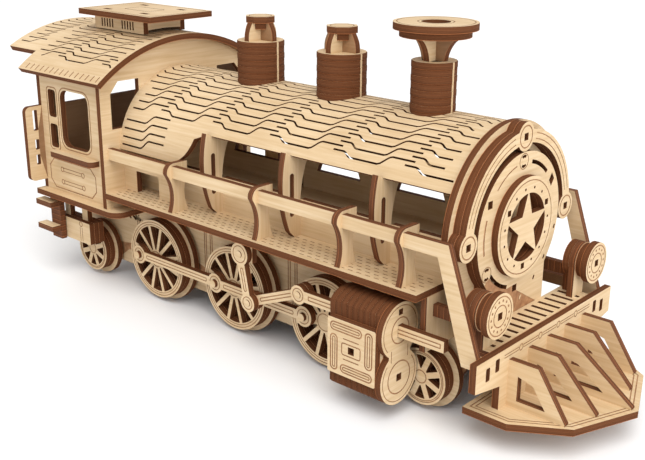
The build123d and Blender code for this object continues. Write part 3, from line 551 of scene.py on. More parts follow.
def under_roof(half_width, radius=ROOF_UNDER, count=28):
    """The arch of a cab wall's top, listed from its right end."""
    turn = degrees(asin(half_width / radius))
    return arc(0, ROOF_CENTRE, radius, 90 - turn, 90 + turn, count)


def wall_rim(half_width, bottom):
    """A cab end wall's outline, its top cut to the roof."""
    return [(-half_width, bottom), (half_width, bottom)] + under_roof(half_width)


def cab_front_wall():
    low, high = span("cab_front_wall")
    sill = 92.4
    window = [(27, sill), (45, sill), (45, sill + 18), (40, sill + 24), (27, sill + 24)]
    bm = sheet([wall_rim(high.y, low.z), window] + mirrored([window]))
    finish_piece("cab_front_ply", ROOT, "cab_front_wall", [(bm, across_place(low.x))])


def cab_rear_wall():
    low, high = span("cab_rear_wall")
    wall, ear, mid = 48.5, high.y, 76.8
    top, foot, corner = mid + 20.5, mid - 20.5, 3.0
    right = [(-wall, top)] + arc(corner - ear, top - corner, corner, 90, 180, 5)
    right += arc(corner - ear, foot + corner, corner, 180, 270, 5) + [(-wall, foot)]
    left = [(-x, z) for x, z in reversed(right)]
    rim = right + [(-wall, low.z), (wall, low.z)] + left + under_roof(wall)
    reach, sill, header = 38.0, 96.4, 6
    holes = [[(-reach, sill), (reach, sill)] + under_roof(reach, ROOF_UNDER - header, 24)]
    for side in (-1, 1):
        y = side * (wall + 4.6)
        holes.append(rounded(y - 1.4, mid + 7.2, y + 1.4, mid + 18.4, 0.6))
        holes += [rounded(y - 1.2, z - 2.8, y + 1.2, z + 2.8, 0.5) for z in (mid - 0.5, mid - 8.9)]
    # Upper face rearward, so the cab's inside shows the lower face with its painted shade; the ears outside
    # the cab keep the plain birch face.
    facing_back = Matrix(((0, 0, -1, high.x * MM), (-1, 0, 0, 0), (0, 1, 0, 0), (0, 0, 0, 1)))
    bm = sheet([rim] + holes, frame_line(-40, 56, 40, 91, 3))
    for face in bm.faces:
        if face.material_index == BACK_SLOT and abs(face.calc_center_median().x) > wall * MM:
            face.material_index = FACE_SLOT
    finish_piece("cab_rear_ply", ROOT, "cab_rear_wall", [(bm, facing_back)])


def bone(x0, x1, y):
    """An engraved bar with a small ring at each end, drawn as one narrow line."""
    line = [slot(x0 + 1.4, y + side * 0.9, x1 - 1.4, y + side * 0.9, 0.42) for side in (-1, 1)]
    return line + ring_line(x0, y, 1.25, 0.4) + ring_line(x1, y, 1.25, 0.4)


def octagon(x0, y0, x1, y1, c):
    """A rectangle with its corners cut off at 45 degrees."""
    return [
        (x0 + c, y0), (x1 - c, y0), (x1, y0 + c), (x1, y1 - c),
        (x1 - c, y1), (x0 + c, y1), (x0, y1 - c), (x0, y0 + c),
    ]


def cab_side_walls():
    low, high = span("cab_side_walls")
    rim = rounded(low.x, low.z, high.x, high.z)
    window = rounded(-129.0, 77.75, -104.4, 108.25, 5)
    panes = [rounded(-140.0, 92.4, -133.2, 107.2, 1.5), rounded(-140.0, 75.75, -133.2, 88.65, 1.5)]
    marks = frame_line(-130.4, 76.2, -102.9, 109.8, 6) + frame_line(-141.4, 74.2, -131.7, 108.8, 2.5)
    marks += [octagon(-143.4, 52.9, -101.6, 69.6, 4.2), octagon(-142.8, 53.5, -102.2, 69.0, 3.9)]
    for y in (57.2, 64.2):
        marks += bone(-132.0, -113.2, y)
    parts = []
    for side in (-1, 1):
        parts.append((sheet([rim, window] + panes, marks), along_place(high.y - PLY, side)))
    finish_piece("cab_side_plies", ROOT, "cab_side_walls", parts)


# ---- ring stacks -----------------------------------------------------------
def ply_of_stack(loops, thickness):
    """One ply of a glued stack, its burnt edge rounded off so that the joints show."""
    bm = cut(loops, 0, thickness, chamfer=0.28)
    sheet_uv(bm)
    return bm


def ring_layers(x, radius, bore, top, count, parts):
    """Laminated rings, each a hair thinner than its ply, with the pale tab of a spine in front."""
    for i in range(count):
        z = top - (i + 1) * PLY
        rim = circle(x, 0, radius - 0.12 * (i % 2), 64)
        parts.append((ply_of_stack([rim, circle(x, 0, bore, 32)], PLY - 0.04), flat_place(z)))
        strip = rounded(x + radius - 0.3, -0.5, x + radius + 0.05, 0.5)
        seam = cut([strip], 0, PLY - 0.07)
        for face in seam.faces:
            face.material_index = FACE_SLOT
        sheet_uv(seam)
        parts.append((seam, flat_place(z)))


def domes():
    low, high = span("dome_rings")
    radius = 11.5
    parts = []
    for x in (low.x + radius, high.x - radius):
        ring_layers(x, radius, 5, high.z, 7, parts)
    finish_piece("dome_ring_stacks", ROOT, "dome_rings", parts)


def chimney():
    low, high = span("chimney_rings")
    parts = []
    ring_layers((low.x + high.x) / 2, (high.x - low.x) / 2, 5, high.z, 8, parts)
    finish_piece("chimney_ring_stack", ROOT, "chimney_rings", parts)


boiler_shell()
cab_roof()
deck()
cab_floor()
cab_front_wall()
cab_rear_wall()
cab_side_walls()
domes()
chimney()

# ---- more outlines ---------------------------------------------------------
def inset(points, distance):
    """A convex outline, listed anticlockwise, moved inwards by a distance."""
    moved = []
    count = len(points)
    for i in range(count):
        before, here, after = (Vector(points[(i + k) % count]) for k in (-1, 0, 1))
        first, second = (here - before).normalized(), (after - here).normalized()
        half = (first + second).normalized()
        reach = distance / max(first.dot(half), 0.2)
        moved.append(tuple(here + Vector((-half.y, half.x)) * reach))
    return moved


def border(points, distance, width=0.5):
    """An engraved line that follows an outline at a distance inside it."""
    return [inset(points, distance), inset(points, distance + width * KERF)]


def bar(a, b, ra, rb, half):
    """A straight bar between two round eyes."""
    length = hypot(b[0] - a[0], b[1] - a[1])
    turn = atan2(b[1] - a[1], b[0] - a[0])
    da, db = degrees(asin(half / ra)), degrees(asin(half / rb))
    points = arc(0, 0, ra, da, 360 - da, 28) + arc(length, 0, rb, 180 + db, 540 - db, 28)
    return turned(points, a, turn)


def turned(points, origin, angle):
    """Points turned by an angle and moved to a new origin."""
    c, s = cos(angle), sin(angle)
    return [(origin[0] + x * c - y * s, origin[1] + x * s + y * c) for x, y in points]


def bar_groove(a, b, gap_a, gap_b, half, width=0.4):
    """A long engraved groove between two eyes."""
    length = hypot(b[0] - a[0], b[1] - a[1])
    turn = atan2(b[1] - a[1], b[0] - a[0])
    loops = frame_line(gap_a, -half, length - gap_b, half, half * 0.9, width)
    return [turned(loop, a, turn) for loop in loops]


def windows(cx, cy, inner, outer, count, width, start=0.0):
    """The gaps between a wheel's spokes."""
    near, far = degrees(asin(width / 2 / inner)), degrees(asin(width / 2 / outer))
    step = 360 / count
    gaps = []
    for i in range(count):
        a = start + i * step
        gap = arc(cx, cy, outer, a + far, a + step - far, 7)
        gaps.append(gap + arc(cx, cy, inner, a + step - near, a + near, 4))
    return gaps


def octagonal(cx, cy, r):
    """A regular octagon that stands on a side."""
    return arc(cx, cy, r, 22.5, 382.5, 8)[:-1]


def both_sides(loops, marks, place, parts, thickness=PLY):
    """A left sheet and its mirrored right one, both standing across the model."""
    parts.append((sheet(loops, marks, thickness), place))
    parts.append((sheet(mirrored(loops), mirrored(marks), thickness), place))


# ---- smokebox --------------------------------------------------------------
BOILER_Z = 79.0
STAR_RADIUS = 14.4
HOLE_RING = 16.6


def plate_on_foot(radius, half_width, foot_z):
    """A round plate that runs straight down to a foot."""
    turn = degrees(acos(half_width / radius))
    return [(-half_width, foot_z), (half_width, foot_z)] + arc(0, BOILER_Z, radius, -turn, 180 + turn, 60)


def two_plies(loops, marks, x, rear_thickness):
    """Two like plates across the model, the front one engraved."""
    rear = sheet(loops, thickness=rear_thickness)
    return [(rear, across_place(x)), (sheet(loops, marks), across_place(x + PLY))]


def smokebox_plates():
    low, high = span("smokebox_back_plate")
    rim = plate_on_foot(42.8, 30, low.z)
    holes = [slot(-22, 44, -8, 44, 2.4), slot(8, 44, 22, 44, 2.4)]
    parts = [(sheet([rim] + holes), across_place(low.x))]
    finish_piece("smokebox_back", ROOT, "smokebox_back_plate", parts)

    low, high = span("smokebox_front_plate")
    rim = plate_on_foot(high.y, 22.5, low.z)
    z = BOILER_Z
    mid = (high.y + 21.3) / 2
    diamond = [(23.1, z + 11.9), (25.2, z + 14.9), (23.1, z + 17.9), (21.0, z + 14.9)]
    holes = [square(-23.5, z + 14.1, 3.2), diamond]
    holes += [square(-0.8, z - 27.2, 3.0), circle(0, z, STAR_RADIUS, 60)]
    holes += [arc_slot(0, z, mid + 0.5, 46, 77, 1.7), arc_slot(0, z, mid - 0.1, 219, 254, 1.7)]
    for y, drop in ((14.1, 26.8), (4.0, 32.9), (28.3, 7.3), (21.4, 19.4)):
        holes.append(slot(y, z - drop - 0.5, y + 0.5, z - drop + 0.5, 1.1))
    marks = [arc_slot(0, z, mid + 0.6, 102, 135, 0.6), arc_slot(0, z, mid + 0.5, 162, 194, 1.0)]
    for cy, cz in ((-23.2, z - 15.0), (-0.4, z + 27.2)):
        holes += [arc_slot(cy, cz, 2.1, start, start + 80, 1.2) for start in (50, 230)]
        marks += ring_line(cy, cz, 3.2, 0.3)
    parts = two_plies([rim] + holes, marks, low.x, PLY - 0.04)
    finish_piece("smokebox_front", ROOT, "smokebox_front_plate", parts)


def arch_outline(outer, inner, boss_ring, boss):
    """A half ring with a round boss at each end and one on top."""
    def meet(radius):
        turn = degrees(acos((radius**2 + boss_ring**2 - boss**2) / (2 * radius * boss_ring)))
        rise = degrees(atan2(radius * sin(radians(turn)), radius * cos(radians(turn)) - boss_ring))
        return turn, rise
    out_turn, out_rise = meet(outer)
    in_turn, in_rise = meet(inner)
    z = BOILER_Z
    points = arc(boss_ring, z, boss, in_rise, 360 + out_rise, 24)
    points += arc(0, z, outer, out_turn, 90 - out_turn, 14)
    points += arc(0, z + boss_ring, boss, 90 - out_rise, 90 + out_rise, 14)
    points += arc(0, z, outer, 90 + out_turn, 180 - out_turn, 14)
    points += arc(-boss_ring, z, boss, 180 - out_rise, 540 - in_rise, 24)
    points += arc(0, z, inner, 180 - in_turn, 90 + in_turn, 14)
    points += arc(0, z + boss_ring, boss, 90 + in_rise, 450 - in_rise, 14)
    points += arc(0, z, inner, 90 - in_turn, in_turn, 14)
    return clean(points)


def clean(points):
    """Drops points that fall on the next one."""
    after = points[1:] + points[:1]
    return [p for p, q in zip(points, after) if hypot(p[0] - q[0], p[1] - q[1]) > 1e-3]


def smokebox_arch():
    low, high = span("smokebox_arch")
    rim = arch_outline(40.0, 34.4, 37.2, 6.0)
    z = BOILER_Z
    bosses = [(37.2, z), (0, z + 37.2), (-37.2, z)]
    holes = [square(x, y, 3.0) for x, y in bosses]
    marks = []
    for x, y in bosses:
        marks += ring_line(x, y, 4.5, 0.45)
    for start in (12, 102):
        marks += [arc_slot(0, z, radius, start, start + 66, 0.4) for radius in (36.0, 38.4)]
    parts = two_plies([rim] + holes, marks, low.x, PLY - 0.05)
    finish_piece("smokebox_arch_rings", ROOT, "smokebox_arch", parts)


def star_gaps(radius, waist):
    """The five gaps round a star whose tips reach the circle."""
    gaps = []
    for i in range(5):
        start = 90 + 72 * i
        valley = radians(start + 36)
        gap = arc(0, BOILER_Z, radius, start + 1.6, start + 70.4, 12)
        gap.append((waist * cos(valley), BOILER_Z + waist * sin(valley)))
        gaps.append(gap)
    return gaps


def smokebox_door():
    low, high = span("smokebox_door")
    radius = high.y
    z = BOILER_Z
    rim = circle(0, z, radius, 80)
    holes = star_gaps(STAR_RADIUS, 6.2)
    for i in range(15):
        turn = radians(3 + 24 * i)
        y, h = HOLE_RING * cos(turn), z + HOLE_RING * sin(turn)
        holes.append(square(y, h, 2.5) if i % 5 == 1 else circle(y, h, 0.62, 10))
    bm = sheet([rim] + holes, ring_line(0, z, radius - 1.6, 0.35))
    finish_piece("smokebox_star_door", ROOT, "smokebox_door", [(bm, across_place(low.x))])


# ---- caps and crown --------------------------------------------------------
def cap_outline(x, z0, z1, low_half, high_half, bulge):
    """One arch of a dome's cap, bulging a little at its sides."""
    points = []
    for i in range(9):
        t = i / 8
        half = low_half + (high_half - low_half) * t + bulge * sin(pi * t)
        points.append((x + half, z0 + (z1 - z0) * t))
    return points + [(2 * x - px, pz) for px, pz in reversed(points)]


def crossed(x, outline, parts):
    """Two like plates that cross on a post's axis; the outline is about x = 0."""
    moved = [(x + px, pz) for px, pz in outline]
    parts.append((sheet([moved]), along_place(-PLY / 2, 1)))
    parts.append((sheet([outline]), across_place(x - PLY / 2)))


def dome_caps():
    low, high = span("dome_caps")
    half = (high.y - low.y) / 2
    parts = []
    for x in (low.x + half, high.x - half):
        crossed(x, cap_outline(0, low.z, high.z - PLY, half, half - 2.4, 0.9), parts)
        top = octagonal(x, 0, 7.4)
        parts.append((sheet([top], border(top, 1.4, 0.35)), flat_place(high.z - PLY)))
        under = sheet([octagonal(x, 0, 5.6)], thickness=PLY - 0.1)
        parts.append((under, flat_place(high.z - 2 * PLY)))
        parts.append((sheet([circle(x, 0, 11.2, 64)], thickness=0.3), flat_place(low.z - 0.28)))
    finish_piece("dome_cap_plates", ROOT, "dome_caps", parts)


def chimney_top():
    low, high = span("chimney_flare")
    x = (low.x + high.x) / 2
    foot, head = 5.8, 13.2
    points = []
    for i in range(11):
        t = i / 10
        flare = (1 - sqrt(max(1 - t * t, 0))) ** 0.8
        points.append((foot + (head - foot) * flare, low.z + (high.z - low.z) * t))
    parts = []
    crossed(x, points + [(-px, pz) for px, pz in reversed(points)], parts)
    finish_piece("chimney_flare_plates", ROOT, "chimney_flare", parts)

    low, high = span("chimney_crown")
    crown = (high.x - low.x) / 2
    parts = []
    for z, radius in ((low.z, 15.2), (low.z + PLY, crown)):
        marks = []
        if radius == crown:
            marks = ring_line(x, 0, crown - 1.6, 0.35) + ring_line(x, 0, 7.6, 0.35)
        bm = sheet([circle(x, 0, radius, 80), circle(x, 0, 6.2, 40)], marks, PLY - 0.03)
        parts.append((bm, flat_place(z)))
    finish_piece("chimney_crown_discs", ROOT, "chimney_crown", parts)


# ---- cylinders -------------------------------------------------------------
CYLINDER_Y = 46.7
LOBE = 12.1
WAIST = 7.0
UPPER_Z, LOWER_Z = 40.5, 19.5


def cylinders():
    low, high = span("cylinder_blocks")
    flat = degrees(acos((high.y - CYLINDER_Y) / LOBE))
    waist = degrees(acos(-WAIST / LOBE))
    rim = arc(CYLINDER_Y, UPPER_Z, LOBE, flat, 360 - waist, 26)
    rim += arc(CYLINDER_Y, LOWER_Z, LOBE, waist, 360 - flat, 26)
    guide = rounded(CYLINDER_Y - 1.75, UPPER_Z - 2.75, CYLINDER_Y + 1.75, UPPER_Z + 2.75)
    parts = []
    for i in range(9):
        for loops in ([rim, guide], mirrored([rim, guide])):
            parts.append((ply_of_stack(loops, PLY - 0.04), across_place(low.x + i * PLY)))
    arm = rounded(23.5, UPPER_Z, 38, high.z if high.z > 55 else 57)
    both_sides([arm], [], across_place(low.x + 3 * PLY + 0.04), parts, PLY - 0.1)
    finish_piece("cylinder_layers", ROOT, "cylinder_blocks", parts)

    low, high = span("cylinder_end_plates")
    turn = degrees(acos(WAIST / LOBE))
    rim = arc(CYLINDER_Y, UPPER_Z, LOBE, -turn, 180 + turn, 36)
    rim += arc(CYLINDER_Y, LOWER_Z, LOBE, 180 - turn, 360 + turn, 36)
    holes = [guide, square(CYLINDER_Y, LOWER_Z, 3.2)]
    holes.append(rounded(CYLINDER_Y - 1.3, UPPER_Z + 6.8, CYLINDER_Y + 1.3, UPPER_Z + 9.4))
    marks = ring_line(CYLINDER_Y, UPPER_Z, 5.6, 0.45) + ring_line(CYLINDER_Y, LOWER_Z, 7.2, 0.45)
    for z, start in ((UPPER_Z, -42), (LOWER_Z, 138)):
        marks.append(arc_slot(CYLINDER_Y, z, 10.7, start, start + 264, 0.4))
    marks += [slot(y, 27.6, y, 32.6, 0.4) for y in (CYLINDER_Y - 5.4, CYLINDER_Y + 5.4)]
    parts = []
    both_sides([rim] + holes, marks, across_place(low.x), parts)
    finish_piece("cylinder_ends", ROOT, "cylinder_end_plates", parts)

    low, high = span("cylinder_covers")
    x0, x1, z0, z1 = low.x, high.x, low.z, high.z
    cx, cz = (x0 + x1) / 2, (z0 + z1) / 2
    near, far, gap, step = 1.4, 5.6, 7.0, 1.2
    frames = [
        (x0 + near, z1 - far, x1 - gap, z1 - near), (x0 + gap, z0 + near, x1 - near, z0 + far),
        (x0 + near, z0 + near, x0 + far, z1 - gap), (x1 - far, z0 + gap, x1 - near, z1 - near),
    ]
    marks = []
    for a, b, c, d in frames:
        marks += frame_line(a, b, c, d, 2.0)
        marks += frame_line(a + step, b + step, c - step, d - step, 0.8, 0.4)
    marks += [slot(cx - 4, cz + s * 4.6, cx + 4, cz + s * 4.6, 0.5) for s in (-1, 1)]
    marks += frame_line(cx - 5.2, cz - 2.9, cx + 5.2, cz + 2.9, 1.2, 0.4)
    parts = []
    for side in (-1, 1):
        bm = sheet([rounded(x0, z0, x1, z1, 0.8), square(cx, cz, 3.2)], marks)
        parts.append((bm, along_place(high.y - PLY, side)))
    finish_piece("cylinder_cover_plates", ROOT, "cylinder_covers", parts)


# ---- pilot and lamps -------------------------------------------------------
def pilot():
    low, high = span("pilot_beam")
    w, leg, top = high.y, 36.5, high.z
    half = [(leg, low.z), (leg, top - 15), (w, top - 12), (w, top)]
    rim = half + [(-y, z) for y, z in reversed(half)]
    holes = [rounded(y - 1.4, 31.6, y + 1.4, 37.2, 0.6) for y in (-45.6, 45.6)]
    holes += [rounded(y - 1.4, 33.2, y + 1.4, 38.6, 0.6) for y in (-39.0, 39.0)]
    marks = []
    stations = [-36, -22, -7.3, 7.3, 22, 36]
    for a, b in zip(stations, stations[1:]):
        marks += [slot(a + 1.9, z, b - 1.9, z, 0.35) for z in (38.4, 37.2)]
    for y in stations[1:-1]:
        marks += ring_line(y, 37.8, 1.3, 0.35)
    bm = sheet([rim] + holes, marks)
    finish_piece("pilot_beam_ply", ROOT, "pilot_beam", [(bm, across_place(low.x))])

    low, high = span("pilot_base")
    rim = [
        (low.x, low.y), (148, low.y), (169.2, -30), (high.x, 0), (169.2, 30), (148, high.y), (low.x, high.y)
    ]
    bm = sheet([rim], border(rim, 2.0, 0.4) + border(rim, 3.6, 0.4))
    finish_piece("pilot_base_ply", ROOT, "pilot_base", [(bm, flat_place(low.z))])


def lamps():
    low, high = span("lamps")
    r = (high.z - low.z) / 2
    y, z = high.y - r, (low.z + high.z) / 2
    front = high.x - PLY
    marks = ring_line(y, z, 7.9, 0.4) + ring_line(y, z, 4.4, 0.4)
    marks += [circle(dot_y, dot_z, 0.55, 8) for dot_y, dot_z in circle(y, z, 6.2, 14)]
    parts = []
    both_sides([circle(y, z, r, 56), square(y, z, 3.0)], marks, across_place(front), parts)
    for x, step in ((front - PLY, 1.6), (low.x, 1.2)):
        both_sides([circle(y, z, r - step, 48)], [], across_place(x), parts, PLY - 0.05)
    finish_piece("lamp_discs", ROOT, "lamps", parts)


# ---- wheels and motion -----------------------------------------------------
CRANK_RADIUS, CRANK_ANGLE = 10, radians(174)


def wheelset(name, body, spokes, hub, rim_width, spoke, crank):
    """Both wheels of an axle: a face layer, a tread layer and a flange layer each."""
    low, high = span(name)
    flange = (high.x - low.x) / 2
    x, z = low.x + flange, low.z + flange
    face = flange - (2.3 if crank else 2.8)
    parts = []
    for side in (-1, 1):
        for layer in range(3):
            outer = high.y - layer * PLY
            radius = flange if layer == 2 else face
            gaps = windows(x, z, hub, face - rim_width, spokes, spoke, 360 / spokes / 2)
            marks = []
            if layer == 0:
                marks = ring_line(x, z, face - 1.2, 0.35)
                marks += ring_line(x, z, face - rim_width + 0.9, 0.3) + ring_line(x, z, hub - 1.1, 0.35)
            loops = [circle(x, z, radius, 72), circle(x, z, 2.5, 20)] + gaps
            parts.append((sheet(loops, marks, PLY - 0.04), along_place(outer - PLY, side)))
        if crank:
            pin = (x + CRANK_RADIUS * cos(CRANK_ANGLE), z + CRANK_RADIUS * sin(CRANK_ANGLE))
            boss = sheet([circle(*pin, 4.6, 32), circle(*pin, 2.0, 16)], thickness=2 * PLY + 0.04)
            parts.append((boss, along_place(high.y - 2 * PLY, side)))
    finish_piece(name.replace("wheels", "wheel") + "_pair", body, name, parts)


def side_rod(hand, side):
    low, high = span(hand + "_coupling_rod")
    z = (low.z + high.z) / 2
    r, half = 5.0, 2.3
    ends = [low.x + r, (low.x + high.x) / 2, high.x - r]
    d = degrees(asin(half / r))
    rim = arc(ends[2], z, r, d - 180, 180 - d, 28) + arc(ends[1], z, r, d, 180 - d, 14)
    rim += arc(ends[0], z, r, d, 360 - d, 28) + arc(ends[1], z, r, 180 + d, 360 - d, 14)
    holes = [circle(x, z, 2.08, 20) for x in ends]
    marks = []
    for x in ends:
        marks += ring_line(x, z, 3.5, 0.35)
    for a, b in zip(ends, ends[1:]):
        marks += frame_line(a + 6.0, z - 1.1, b - 6.0, z + 1.1, 0.9, 0.4)
    inner = min(abs(low.y), abs(high.y))
    parts = [(sheet([rim] + holes, marks), along_place(inner, side))]
    finish_piece(hand + "_side_rod", hand + "_rod", hand + "_coupling_rod", parts)


PIVOT, FOOT, HEAD = (5.9, 50.1), (10.8, 27.2), (42.9, 40.5)
LEVER_Y, LINK_Y = 45.2, 42.1  # inner faces of the lever and piston rod, and of the link
PIVOT_EYE, LINK_EYE = 5.4, 4.4
PIN, PIN_HOLE, LOOSE_HOLE = 1.6, 1.68, 2.5
BAR_HALF, ROD_HALF = 2.3, 2.5


def pin_at(point, side):
    """A pin through the link and the ply outside it."""
    return sheet([circle(*point, PIN, 20)], thickness=6.5), along_place(LINK_Y, side)


def valve_gear(hand, side):
    """The lever, the link and the piston rod of one side."""
    marks = ring_line(*PIVOT, 4.0, 0.35) + ring_line(*FOOT, 3.0, 0.35)
    marks += bar_groove(PIVOT, FOOT, PIVOT_EYE + 1, LINK_EYE + 1, 1.0)
    rim = bar(PIVOT, FOOT, PIVOT_EYE, LINK_EYE, BAR_HALF)
    lever = sheet([rim, circle(*PIVOT, PIN_HOLE, 20)], marks)
    parts = [(lever, along_place(LEVER_Y, side)), pin_at(FOOT, side)]
    finish_piece(hand + "_lever_ply", hand + "_lever", hand + "_valve_lever", parts)

    rim = bar(FOOT, HEAD, LINK_EYE, LINK_EYE, BAR_HALF)
    holes = [circle(*FOOT, PIN_HOLE, 20), circle(*HEAD, LOOSE_HOLE, 24)]
    link = sheet([rim] + holes, bar_groove(FOOT, HEAD, 5.6, 5.6, 1.0))
    parts = [(link, along_place(LINK_Y, side))]
    finish_piece(hand + "_link_ply", hand + "_link", hand + "_valve_link", parts)

    low, high = span(hand + "_piston_rod")
    x, z = HEAD
    d = degrees(asin(ROD_HALF / LINK_EYE))
    rim = arc(x, z, LINK_EYE, d, 360 - d, 28) + [(high.x, z - ROD_HALF), (high.x, z + ROD_HALF)]
    marks = ring_line(x, z, 3.0, 0.35) + frame_line(x + 6, z - 1.1, high.x - 1.4, z + 1.1, 0.4, 0.4)
    parts = [(sheet([rim], marks), along_place(LEVER_Y, side)), pin_at(HEAD, side)]
    finish_piece(hand + "_piston_ply", hand + "_piston", hand + "_piston_rod", parts)


def roof_vent():
    low, high = span("roof_vent_box")
    bottom, top = low.z, high.z
    parts = []
    for side in (-1, 1):
        holes = []
        for start in (low.x + 5.9, high.x - 18.6):
            for x in (start + 2.3 * i for i in range(5)):
                holes.append(rounded(x, top - 6.3, x + 1.1, top - 1.9))
        wall = sheet([rounded(low.x, top - 7.6, high.x, top)] + holes)
        parts.append((wall, along_place(high.y - PLY, side)))
    half, foot, crest = high.y - PLY, bottom + 2.4, bottom + 2.9
    end = [(-half, foot), (0, crest), (half, foot), (half, top), (-half, top)]
    for x in (low.x, high.x - PLY):
        parts.append((sheet([end]), across_place(x)))
    finish_piece("vent_walls", ROOT, "roof_vent_box", parts)

    low, high = span("roof_vent_lid")
    rim = rounded(low.x, low.y, high.x, high.y, 0.6)
    holes = [
        rounded(x - 3, y - 1.4, x + 3, y + 1.4) for x in (low.x + 15, high.x - 15) for y in (-12.4, 12.4)
    ]
    marks = frame_line(low.x + 2, low.y + 2, high.x - 2, high.y - 2, 1.0, 0.5)
    marks += frame_line(low.x + 20, -6, high.x - 20, 6, 2.0, 0.5)
    bm = sheet([rim] + holes, marks)
    finish_piece("vent_lid_ply", ROOT, "roof_vent_lid", [(bm, flat_place(low.z))])


smokebox_plates()
smokebox_arch()
smokebox_door()
dome_caps()
chimney_top()
cylinders()
pilot()
lamps()
roof_vent()
for which in ("rear", "middle", "front"):
    wheelset(which + "_driving_wheels", which + "_driving_wheelset", 12, 5.2, 3.4, 1.9, True)
for which in ("leading", "trailing"):
    wheelset(which + "_wheels", which + "_wheelset", 8, 4.0, 2.8, 2.6, False)
for hand, side in (("right", -1), ("left", 1)):
    side_rod(hand, side)
    valve_gear(hand, side)


# ---- frame and tool boxes --------------------------------------------------
def frame_side_plates():
    low, high = span("frame_side_plates")
    floor_z, deck_z, beam_z, foot, ear = 48.4, high.z, 37.5, 17.0, 9.0
    rim = [
        (low.x, floor_z), (low.x, foot + 8), (-139.3, ear), (-121.3, ear), (-110.3, foot), (82.2, foot),
        (91.2, ear), (109.2, ear), (116.2, foot + 4), (high.x, foot + 8), (high.x, beam_z), (109, beam_z),
        (109, deck_z), (-79, deck_z), (-79, floor_z),
    ]
    axle_hole, truck_z, driver_z = 2.58, 15.5, 23.5
    holes = [circle(x, truck_z, axle_hole, 24) for x in (-130.3, 100.2)]
    marks = []
    for x in (-73.2, -13.6, 46.0):
        holes.append(circle(x, driver_z, axle_hole, 24))
        holes += [rounded(mid - 4.5, 50, mid + 4.5, 54) for mid in (x - 19.867, x + 19.867)]
        for edge_x in (x - 28.6, x + 26.6):
            marks += frame_line(edge_x, 22, edge_x + 2.0, 47.6, 0.6)
    dx, dz = 5.2 * cos(radians(35)), -5.2 * sin(radians(35))
    for x in (-116.3, -111.8, -107.3, -102.8):
        holes.append(slot(x - dx, 39.4 - dz, x + dx, 39.4 + dz, 1.6))
    parts = []
    for side in (-1, 1):
        parts.append((sheet([rim[::-1]] + holes, marks), along_place(high.y - PLY, side)))
    finish_piece("frame_plies", ROOT, "frame_side_plates", parts)


def tool_boxes():
    low, high = span("tool_boxes")
    x0, x1, top, foot = low.x, high.x, 35.4, low.z
    plate = rounded(x0, foot, x1, top, 0.5)
    marks = []
    for x in (x0 + 7, x0 + 23):
        marks += ring_line(x, top - 1.6, 1.3, 0.4)
        marks += [slot(line, foot + 0.8, line, top - 3.6, 0.4) for line in (x - 0.9, x + 0.9)]
    straps = [(x0, foot), (x1, foot), (x1, top)]
    for x in (x0 + 23, x0 + 7):
        straps += [(x + 2.5, top), (x + 2.5, high.z), (x - 2.5, high.z), (x - 2.5, top)]
    straps.append((x0, top))
    parts = []
    for side in (-1, 1):
        parts.append((sheet([plate], marks), along_place(high.y - PLY, side)))
        parts.append((sheet([straps], thickness=PLY - 0.05), along_place(high.y - 2 * PLY, side)))
        parts.append((sheet([plate], thickness=PLY - 0.05), along_place(high.y - 3 * PLY, side)))
    finish_piece("tool_box_plies", ROOT, "tool_boxes", parts)


frame_side_plates()
tool_boxes()

# ---- plates that keep their CAD shape --------------------------------------
# Which way each plate faces; those that aren't named face along the model.
PLATE_AXIS = dict.fromkeys(("cab_window_sills", "front_platform", "cab_steps"), 2)
PLATE_AXIS |= dict.fromkeys(("boiler_side_boards", "handrails", "front_braces"), 1)
PLATE_AXIS |= dict.fromkeys(("pilot_blades", "lever_hangers"), 1)
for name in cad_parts:
    axis = 1 if name.endswith(("_axle", "_pins")) else PLATE_AXIS.get(name, 0)
    materials = bpy.data.objects[name].data.materials
    materials.clear()
    materials.append(SOLID[axis])


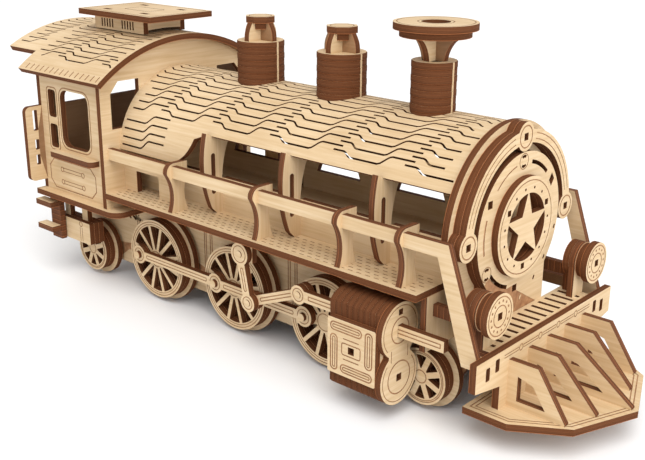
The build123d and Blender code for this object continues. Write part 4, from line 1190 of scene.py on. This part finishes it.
# ---- stage, light and camera -----------------------------------------------
def pale_stage():
    """A floor so wide that it meets the horizon."""
    floor_mesh = bpy.data.meshes.new("floor")
    bm = bmesh.new()
    bmesh.ops.create_grid(bm, x_segments=1, y_segments=1, size=6.0)
    bm.to_mesh(floor_mesh)
    bm.free()
    floor = bpy.data.objects.new("floor", floor_mesh)
    bpy.context.collection.objects.link(floor)
    material, shader, add = shader_of("pale_floor")
    haze = clouds(add, add("ShaderNodeTexCoord").outputs["Object"], 3.0, 2.0)
    dress(shader, add, ramp(add, haze, [(0.3, (0.90, 0.90, 0.90)), (0.7, (0.93, 0.93, 0.93))]), 0.9)
    floor_mesh.materials.append(material)


def soft_light(name, place, aim, size, power):
    light = bpy.data.lights.new(name, "AREA")
    light.shape = "DISK"
    light.size = size
    light.energy = power
    lamp = bpy.data.objects.new(name, light)
    lamp.location = place
    lamp.rotation_mode = "QUATERNION"
    lamp.rotation_quaternion = (Vector(aim) - Vector(place)).to_track_quat("-Z", "Y")
    bpy.context.collection.objects.link(lamp)


def studio():
    world = bpy.data.worlds.new("studio")
    world.use_nodes = True
    background = world.node_tree.nodes["Background"]
    background.inputs["Color"].default_value = (1.0, 1.0, 1.0, 1)
    background.inputs["Strength"].default_value = 0.74
    bpy.context.scene.world = world
    middle = (0, 0, 0.06)
    sun = bpy.data.lights.new("sun", "SUN")
    sun.energy = 1.8
    sun.angle = radians(40)
    high_sun = bpy.data.objects.new("sun", sun)
    high_sun.rotation_mode = "QUATERNION"
    high_sun.rotation_quaternion = Vector((-0.42, 0.5, -1.0)).to_track_quat("-Z", "Y")
    bpy.context.collection.objects.link(high_sun)
    soft_light("fill", (1.1, -0.3, 0.5), middle, 0.8, 5)
    bpy.context.scene.view_settings.view_transform = "Standard"


def camera():
    azimuth, elevation, roll = radians(41.75), radians(18.91), radians(0.38)
    back = Vector((sin(azimuth) * cos(elevation), -cos(azimuth) * cos(elevation), sin(elevation)))
    level = Vector((cos(azimuth), sin(azimuth), 0))
    upward = back.cross(level)
    right = level * cos(roll) + upward * sin(roll)
    up = upward * cos(roll) - level * sin(roll)
    lens = bpy.data.cameras.new("camera")
    lens.lens = 55.05
    lens.shift_x, lens.shift_y = -0.00502, -0.00453
    lens.clip_start = 0.01
    eye = bpy.data.objects.new("camera", lens)
    place = Vector((0.016, 0, 0.0535)) + back * 0.4784
    turn = Matrix((right, up, back)).transposed().to_4x4()
    eye.matrix_world = Matrix.Translation(place) @ turn
    bpy.context.collection.objects.link(eye)
    bpy.context.scene.camera = eye


pale_stage()
studio()
camera()
